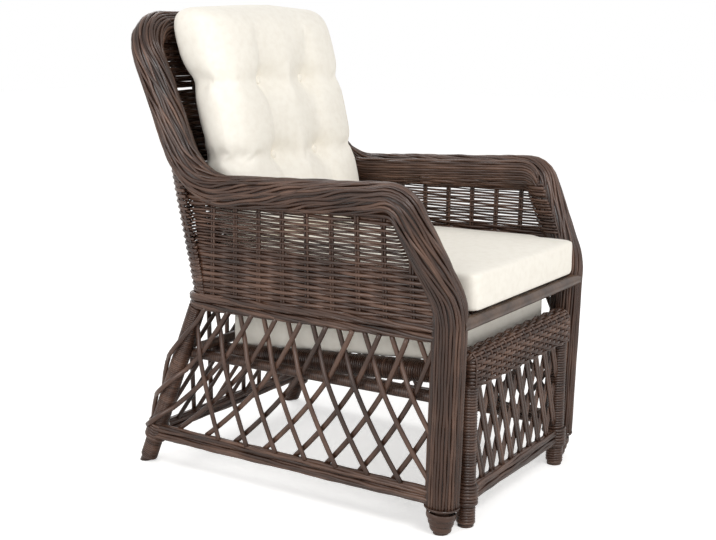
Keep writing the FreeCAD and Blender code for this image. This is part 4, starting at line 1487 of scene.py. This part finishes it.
@dataclass
class Cushion:
    """Stuffed cotton cushion: a closed form that is swollen as cloth and then finished."""

    name: str
    node: list
    body: Body
    low: tuple = (0.0, 0.0, 0.0)
    high: tuple = (0.0, 0.0, 0.0)
    voxel: float = 6.0
    pressure: float = 4.0
    cap: float = 24.0
    fill: float = 0.7
    steps: int = 20
    cloth: dict = field(
        default_factory=lambda: {
            "use_pressure": True,
            "mass": 0.3,
            "quality": 5,
            "tension_stiffness": 25.0,
            "compression_stiffness": 25.0,
            "shear_stiffness": 8.0,
            "bending_stiffness": 1.5,
        }
    )

    def closed_grid(self, rings: np.ndarray) -> tuple:
        """Vertices and faces of rings that are closed at both ends by a fan.

        Args:
            rings: points shaped (rings, marks, 3), in millimetres.

        Returns:
            Vertices in metres and a list of faces.
        """
        count, marks = rings.shape[:2]
        verts = np.concatenate([rings.reshape(-1, 3), rings[0].mean(0)[None], rings[-1].mean(0)[None]]) * MM
        index = np.arange(count * marks).reshape(count, marks)
        after = np.roll(index, -1, axis=1)
        quads = np.stack([index[:-1], after[:-1], after[1:], index[1:]], axis=-1).reshape(-1, 4)
        low, high = count * marks, count * marks + 1
        foot = np.stack([after[0], index[0], np.full(marks, low)], axis=-1)
        head = np.stack([index[-1], after[-1], np.full(marks, high)], axis=-1)
        return verts, quads.tolist() + foot.tolist() + head.tolist()

    def swollen(self, rings: np.ndarray, pins: np.ndarray, pin_reach: float) -> Object:
        """Remesh the form, swell it as cloth with some points held, and fit it to the cushion's box.

        Args:
            rings: the form's rings, in millimetres.
            pins: points that are held, shaped (pins, 3), in millimetres.
            pin_reach: distance from a pin that is held.

        Returns:
            The cushion's object.
        """
        verts, faces = self.closed_grid(rings)
        mesh = bpy.data.meshes.new(self.name)
        mesh.from_pydata(verts.tolist(), [], faces)
        obj = new_object(self.name, mesh)
        remesh = obj.modifiers.new("form", "REMESH")
        remesh.mode = "VOXEL"
        remesh.voxel_size = self.voxel * MM
        graph = bpy.context.evaluated_depsgraph_get()
        formed = bpy.data.meshes.new_from_object(obj.evaluated_get(graph))
        obj.modifiers.clear()
        obj.data = formed
        self.swell(obj, pins * MM, pin_reach * MM)
        self.fit(formed)
        smooth_shaded(formed)
        return obj

    def fit(self, mesh: Mesh) -> None:
        """Stretch a swollen form along X, Y and Z to the cushion's own box.

        Args:
            mesh: the form's mesh.
        """
        points = self.points(mesh)
        least, most = points.min(0), points.max(0)
        low, high = np.array(self.low) * MM, np.array(self.high) * MM
        self.move(mesh, low + (points - least) / (most - least) * (high - low))

    @staticmethod
    def points(mesh: Mesh) -> np.ndarray:
        """Vertices of a mesh as an array.

        Args:
            mesh: the mesh.

        Returns:
            The vertices, shaped (vertices, 3).
        """
        flat = np.zeros(len(mesh.vertices) * 3, np.float32)
        mesh.vertices.foreach_get("co", flat)
        return flat.reshape(-1, 3).astype(float)

    @staticmethod
    def move(mesh: Mesh, points: np.ndarray) -> None:
        """Write vertices back into a mesh."""
        mesh.vertices.foreach_set("co", points.astype(np.float32).ravel())
        mesh.update()

    def swell(self, obj: Object, pins: np.ndarray, pin_reach: float) -> None:
        """Swell a remeshed form under pressure, and cap how far a point may move.

        Args:
            obj: the form.
            pins: held points, in metres.
            pin_reach: distance from a pin that is held, in metres.
        """
        scene = bpy.context.scene
        rest = self.points(obj.data)
        mod = obj.modifiers.new("swell", "CLOTH")
        for key, value in self.cloth.items():
            setattr(mod.settings, key, value)
        mod.settings.uniform_pressure_force = self.pressure
        mod.settings.effector_weights.gravity = 0.0
        near = np.min(np.linalg.norm(rest[:, None, :] - pins[None], axis=-1), axis=1) < pin_reach
        group = obj.vertex_groups.new(name="held")
        group.add(np.flatnonzero(near).tolist(), 1.0, "REPLACE")
        mod.settings.vertex_group_mass = "held"
        mod.point_cache.frame_start = 1
        mod.point_cache.frame_end = self.steps
        for step in range(1, self.steps + 1):
            scene.frame_set(step)
        graph = bpy.context.evaluated_depsgraph_get()
        moved = self.points(obj.evaluated_get(graph).to_mesh()) - rest
        obj.evaluated_get(graph).to_mesh_clear()
        size = np.linalg.norm(moved, axis=1, keepdims=True)
        obj.modifiers.clear()
        obj.vertex_groups.clear()
        self.move(obj.data, rest + moved * np.minimum(1.0, self.cap * MM / np.maximum(size, TINY)))
        scene.frame_set(1)
        LOG.info("%s: swelled by up to %.1f mm", self.name, float(size.max()) / MM)

    def finish(self, obj: Object, shop: Workshop) -> None:
        """Smooth the cushion, dress it and let it ride.

        Args:
            obj: the cushion.
            shop: takes the piece.
        """
        smooth = obj.modifiers.new("smooth", "SUBSURF")
        smooth.levels = 1
        smooth.render_levels = 1
        obj.data.materials.clear()
        obj.data.materials.append(shop.finishes.canvas)
        shop.place(obj, self.body, Slot.COTTON, self.node)


@dataclass
class BoxCushion(Cushion):
    """Flat boxed cushion: a rounded outline with upright walls, a crowned top and sewn edges."""

    corners: tuple = ()
    bends: tuple = ()
    base_z: float = 0.0
    thick: float = 70.0
    slope: float = 0.0
    slope_y: float = 0.0
    crown: float = 6.0
    crown_rear_y: float = 1e6
    crown_fade: float = 70.0
    edge: float = 6.0
    inset: float = 2.0
    marks: int = 260
    flat_rings: int = 25
    edge_rings: int = 7
    least_share: float = 0.06
    pin_margin: float = 2.0

    def rings(self) -> np.ndarray:
        """Rings from the middle of the underside out, up the wall and in over the top.

        A ring is the outline drawn in towards the cushion's middle; its height follows a quarter round
        at both edges, and the top rises towards the middle by the crown times (1 - share to the fourth).

        Returns:
            The rings.
        """
        outline = round_outline(np.array(self.corners), self.bends, self.marks)
        middle = outline.mean(0)
        size = np.abs(outline - middle).max()
        inner = np.linspace(self.least_share, 1.0, self.flat_rings + 1)
        turn = np.linspace(0, np.pi / 2, self.edge_rings)
        edge, within = self.edge, 1 - self.edge / size
        shares = [inner[:-1] * within, within + edge / size * np.sin(turn)]
        shares += [within + edge / size * np.cos(turn), inner[-2::-1] * within]
        heights = [np.zeros(self.flat_rings), edge - edge * np.cos(turn)]
        heights += [self.thick - edge + edge * np.sin(turn), np.full(self.flat_rings, self.thick)]
        share, height = np.concatenate(shares), np.concatenate(heights)
        scale = share * (1 - self.inset / size)
        flat = middle + scale[:, None, None] * (outline - middle)
        top = np.clip((height - 0.5 * self.thick) / (0.5 * self.thick), 0, 1)
        crown = self.crown * top * (1 - share**4)
        z = np.broadcast_to((height + crown)[:, None], flat.shape[:2])
        fade = np.clip((self.crown_rear_y - flat[..., 1]) / self.crown_fade, 0, 1)
        z = np.where(z > self.thick, self.thick + (z - self.thick) * fade, z)
        z = z + self.base_z - self.slope * (flat[..., 1] - self.slope_y)
        return np.concatenate([flat, z[..., None]], axis=-1)

    def build(self, shop: Workshop) -> None:
        """Make the cushion, held at the seams in the middle of its two edges.

        Args:
            shop: takes the piece.
        """
        rings = self.rings()
        seam = self.flat_rings + self.edge_rings // 2
        seams = rings[[seam, seam + self.edge_rings]][:, ::2].reshape(-1, 3)
        self.finish(self.swollen(rings, seams, self.edge + self.pin_margin), shop)


@dataclass
class BackCushion(Cushion):
    """Tufted back cushion: a pillow of three columns of puffs held down by buttons."""

    half_width: float = 220.0
    z: tuple = (493.0, 976.0)
    rear_y: tuple = (231.0, 348.0)
    thick: tuple = (120.0, 128.0)
    button_x: float = 75.0
    button_share: tuple = (0.36, 0.68)
    button_r: float = 9.0
    button_rise: float = 4.6
    button_out: float = 2.0
    tuft: float = 22.0
    tuft_width: float = 30.0
    crease: float = 13.0
    row_crease: float = 6.0
    crease_width: float = 20.0
    crease_fade: float = 90.0
    notch: float = 8.0
    notch_share: float = 0.05
    section: float = 2.6
    width_power: float = 6.0
    end_power: int = 12
    rear_power: tuple = (2.8, 2.6)
    rear_middle: tuple = (0.56, 0.12)
    draw_in: float = 0.18
    button_near: float = 5.0
    button_sink: float = 0.99
    dome_marks: int = 20
    dome_turn: tuple = (-0.35, 0.48, 8)
    round_marks: int = 240
    levels: int = 90
    end_stop: float = 0.997

    def middle_y(self, share: np.ndarray) -> np.ndarray:
        """Place of the cushion's middle plane at shares of its height."""
        return np.interp(share, [0, 1], np.array(self.rear_y) - np.array(self.thick) / 2)

    def half_thick(self, share: np.ndarray) -> np.ndarray:
        """Half the cushion's thickness at shares of its height."""
        return np.interp(share, [0, 1], np.array(self.thick) / 2)

    def dip(self, x: np.ndarray, share: np.ndarray) -> np.ndarray:
        """Depth of tufts and creases on the front.

        It is the sum of a round dip at each button, a crease up each column of buttons and a faint
        crease across each row, each the depth times exp(-(distance / width) squared).

        Args:
            x: places across.
            share: shares of the height.

        Returns:
            Depths in millimetres.
        """
        tall = self.z[1] - self.z[0]
        height = share * tall
        fade = np.clip((tall - height) / self.crease_fade, 0, 1) * np.clip(height / self.crease_fade, 0, 1)
        depth = np.zeros_like(x)
        for place in (-self.button_x, self.button_x):
            depth = depth + self.crease * np.exp(-(((x - place) / self.crease_width) ** 2)) * fade
            for row in self.button_share:
                far = ((x - place) / self.tuft_width) ** 2 + ((height - row * tall) / self.tuft_width) ** 2
                depth = depth + self.tuft * np.exp(-far)
        for row in self.button_share:
            depth = depth + self.row_crease * np.exp(-(((height - row * tall) / self.crease_width) ** 2))
        return depth

    def rings(self) -> np.ndarray:
        """Level sections stacked from the foot to the head.

        A section is |x / half width| to the sixth plus |n / half thickness| to the 2.6th equal to one,
        drawn in towards both ends by (1 - |v| to the twelfth) to the power 1 / 2.6. Its rear is flatter
        at the foot and the head, where the cushion leans on the chair.

        Returns:
            The rings.
        """
        turn = np.linspace(0, 2 * np.pi, self.round_marks, endpoint=False)
        end = np.sin(np.linspace(-1, 1, self.levels) * np.pi / 2) * self.end_stop
        share = end * 0.5 + 0.5
        full = (1 - np.abs(end) ** self.end_power) ** (1 / self.section)
        away = share - np.array(self.button_share)[:, None]
        notch = (self.notch * np.exp(-((away / self.notch_share) ** 2))).sum(0)
        cos, sin = np.cos(turn), np.sin(turn)
        across = np.sign(cos) * np.abs(cos) ** (2 / self.width_power)
        (least, more), (middle, reach) = self.rear_power, self.rear_middle
        flat = least + more * np.clip(np.abs(share - middle) / reach - 1.0, 0, 1)[:, None]
        out = np.sign(sin) * np.abs(sin) ** (2 / np.where(sin < 0, flat, self.section))
        x = (self.half_width * (1 - self.draw_in * (1 - full)) - notch)[:, None] * across
        rise = np.broadcast_to(share[:, None], x.shape)
        n = (self.half_thick(share) * full)[:, None] * out
        n = n - self.dip(x, rise) * np.clip(out, 0, 1) * full[:, None]
        y = self.middle_y(share)[:, None] - n
        return grid(x, y, self.z[0] + rise * (self.z[1] - self.z[0]))

    def upwards(self) -> np.ndarray:
        """Direction up along the cushion's front."""
        run = self.rear_y[1] - self.thick[1] - self.rear_y[0] + self.thick[0]
        return unit(np.array([0.0, run, self.z[1] - self.z[0]]))

    def on_front(self, places: np.ndarray, mesh: Mesh) -> np.ndarray:
        """Buttons moved to the front of the finished cushion: the mean of its points near each.

        Args:
            places: middles of the buttons, in millimetres.
            mesh: the cushion's mesh.

        Returns:
            The moved middles.
        """
        points = self.points(mesh) / MM
        share = (points[:, 2] - self.z[0]) / (self.z[1] - self.z[0])
        points = points[points[:, 1] < self.middle_y(share)]
        far = np.hypot(points[:, None, 0] - places[:, 0], points[:, None, 2] - places[:, 2])
        weight = np.exp(-((far / self.button_near) ** 2))
        moved = places.copy()
        moved[:, 1] = (weight * points[:, 1:2]).sum(0) / weight.sum(0)
        return moved

    def buttons(self) -> np.ndarray:
        """Middles of the buttons on the front.

        Returns:
            Points in millimetres.
        """
        x = np.array([-1, 1, -1, 1]) * self.button_x
        share = np.repeat(np.array(self.button_share), 2)
        y = self.middle_y(share) - self.half_thick(share) * self.button_sink + self.dip(x, share)
        return grid(x, y, self.z[0] + share * (self.z[1] - self.z[0]))

    def button_domes(self, places: np.ndarray) -> tuple:
        """Covered buttons: domes of rings that shrink by cos and rise by sin.

        Args:
            places: middles of the buttons, in millimetres.

        Returns:
            Vertices in metres and faces.
        """
        up = self.upwards()
        front = np.cross(ACROSS, up)
        turn = np.linspace(0, 2 * np.pi, self.dome_marks, endpoint=False)[:, None]
        swell = np.linspace(*self.dome_turn)[:, None, None] * np.pi
        ring = np.cos(turn) * ACROSS + np.sin(turn) * up
        rise = self.button_rise * np.sin(swell) + self.button_out
        verts, faces = [], []
        for number, middle in enumerate(places):
            rings = middle + self.button_r * np.cos(swell) * ring + rise * front
            points, polygons = self.closed_grid(rings)
            faces += [[i + number * len(points) for i in polygon] for polygon in polygons]
            verts.append(points)
        return np.concatenate(verts), faces

    def build(self, shop: Workshop) -> None:
        """Make the cushion and its buttons.

        Args:
            shop: takes the pieces.
        """
        obj = self.swollen(self.rings(), self.buttons(), self.button_r)
        self.finish(obj, shop)
        verts, faces = self.button_domes(self.on_front(self.buttons(), obj.data))
        mesh = bpy.data.meshes.new("back_cushion_button_domes")
        mesh.from_pydata(verts.tolist(), [], faces)
        smooth_shaded(mesh)
        mesh.materials.append(shop.finishes.canvas)
        domes = new_object("back_cushion_button_domes", mesh)
        shop.place(domes, Body.BACK_CUSHION, Slot.COTTON, ["back_cushion_buttons"])


@dataclass
class Studio:
    """Pale floor, soft light and the camera at the photograph's angle."""

    eye: tuple = (-2.10935, -1.37858, 0.91850)
    target: tuple = (0.0, 0.007, 0.359)
    focal_px: float = 1200.0
    centre_drop_px: float = 29.0
    floor_colour: str = "f4f3f1"
    floor_span: float = 14.0
    floor_glow: float = 0.46
    world_strength: float = 0.62
    lamp_target: tuple = (0.0, 0.0, 0.4)
    lamps: tuple = (
        ("key_lamp", (-1.5, -2.2, 2.9), 1.0, 39.0),
        ("side_lamp", (-2.8, 0.4, 1.2), 1.4, 24.0),
        ("front_lamp", (-0.3, -3.0, 0.7), 1.4, 11.0),
        ("back_lamp", (1.6, 2.2, 2.4), 1.6, 22.0),
    )

    @staticmethod
    def aimed(name: str, data: ID, place: tuple, target: tuple) -> Object:
        """Put a camera or a lamp at a place, looking at a target.

        Args:
            name: the object's name.
            data: camera or lamp.
            place: where it stands, in metres.
            target: what it looks at.

        Returns:
            The object.
        """
        obj = new_object(name, data)
        obj.location = place
        obj.rotation_euler = (Vector(target) - Vector(place)).to_track_quat("-Z", "Y").to_euler()
        return obj

    def camera(self) -> None:
        """Camera with the focal length and the drop of its axis that the photograph gives."""
        data = bpy.data.cameras.new("camera")
        data.sensor_width = SENSOR_MM
        data.lens = self.focal_px / PHOTO_WIDTH * SENSOR_MM
        data.shift_y = self.centre_drop_px / PHOTO_WIDTH
        data.clip_end = 50.0
        bpy.context.scene.camera = self.aimed("camera", data, self.eye, self.target)

    def floor(self) -> None:
        """Pale floor that keeps the object's shadow and reads white to the camera."""
        mesh = bpy.data.meshes.new("floor")
        corners = self.floor_span * np.array([(-1, -1, 0), (1, -1, 0), (1, 1, 0), (-1, 1, 0)])
        mesh.from_pydata(corners.tolist(), [], [(0, 1, 2, 3)])
        shading = Shading("pale_floor")
        seen = shading.add("LightPath").outputs["Is Camera Ray"]
        glow = shading.add("Math", {"operation": "MULTIPLY"}, {1: self.floor_glow}, {0: seen})
        shading.tree.links.new(glow.outputs["Value"], shading.shader.inputs["Emission Strength"])
        colours = {"Base Color": linear(self.floor_colour), "Emission Color": linear("ffffff")}
        mesh.materials.append(shading.finished({**colours, "Roughness": 0.9}))
        new_object("floor", mesh)

    def sky(self) -> None:
        """Even pale world: a plain level for light, white where the camera, a gloss or a glass sees it."""
        world = bpy.data.worlds.new("studio")
        world.use_nodes = True
        tree = world.node_tree
        tree.nodes.clear()
        path = add_node(tree, "LightPath").outputs
        seen = path["Is Camera Ray"]
        for ray in ("Is Transmission Ray", "Is Glossy Ray"):
            either = add_node(tree, "Math", {"operation": "MAXIMUM"}, links={0: seen, 1: path[ray]})
            seen = either.outputs["Value"]
        ends = {"To Min": self.world_strength, "To Max": 1.0}
        level = add_node(tree, "MapRange", values=ends, links={"Value": seen}).outputs["Result"]
        light = add_node(tree, "Background", values={"Color": linear("ffffff")}, links={"Strength": level})
        add_node(tree, "OutputWorld", links={"Surface": light.outputs["Background"]})
        bpy.context.scene.world = world

    def build(self) -> None:
        """Make camera, floor, world and square soft lamps."""
        self.camera()
        self.floor()
        self.sky()
        for name, place, size, power in self.lamps:
            data = bpy.data.lights.new(name, "AREA")
            data.size = size
            data.energy = power
            self.aimed(name, data, place, self.lamp_target)
        bpy.context.scene.view_settings.view_transform = "Standard"


def seat_cushion() -> BoxCushion:
    """Boxed seat cushion, narrower between the front legs.

    Returns:
        The cushion.
    """
    half = ((223.0, -396.0), (223.0, -318.0), (241.0, -296.0), (224.0, 220.0))
    bends = (26.0, 10.0, 18.0, 34.0)
    return BoxCushion(
        "seat_cushion_canvas",
        ["seat_cushion"],
        Body.SEAT_CUSHION,
        low=(-242.0, -396.0, 418.5),
        high=(242.0, 221.0, 502.0),
        pressure=2.0,
        cap=12.0,
        fill=0.8,
        corners=half + tuple((-x, y) for x, y in reversed(half)),
        bends=bends + bends[::-1],
        base_z=419.0,
        thick=70.0,
        crown=7.0,
        crown_rear_y=110.0,
    )


def footrest_cushion() -> BoxCushion:
    """Boxed footrest cushion, lying along the side rails.

    Returns:
        The cushion.
    """
    return BoxCushion(
        "footrest_cushion_canvas",
        ["footrest_cushion"],
        Body.FOOTREST,
        low=(-195.5, -342.5, 272.5),
        high=(195.5, 202.5, 385.0),
        voxel=8.0,
        pressure=2.0,
        cap=10.0,
        fill=0.8,
        corners=((-193.0, -341.0), (193.0, -341.0), (193.0, 201.0), (-193.0, 201.0)),
        bends=(18.0,) * 4,
        base_z=317.0,
        thick=68.0,
        edge=4.0,
        slope=0.074,
        slope_y=-372.0,
        crown=1.0,
    )


def back_cushion() -> BackCushion:
    """Tufted back cushion that stands on the seat cushion and leans on the back.

    Returns:
        The cushion.
    """
    return BackCushion(
        "back_cushion_canvas",
        ["back_cushion"],
        Body.BACK_CUSHION,
        low=(-222.0, 108.0, 493.0),
        high=(222.0, 341.0, 979.0),
        pressure=2.0,
        cap=9.0,
        fill=0.85,
    )


def main() -> None:
    """Build the chair piece by piece and light it."""
    logging.basicConfig(level=logging.INFO, format="%(name)s %(message)s")
    Studio().build()
    shop = Workshop(Finishes())
    border = RolledBorder()
    legs = Legs(border)
    border.build(shop)
    legs.build(shop)
    Skirt().build(shop, legs)
    WovenShell(border).build(shop)
    Footrest().build(shop)
    Poles().dress(shop)
    for cushion in (seat_cushion(), footrest_cushion(), back_cushion()):
        cushion.build(shop)
    LOG.info("%d new pieces", len(shop.pieces))


if __name__ == "__main__":
    main()
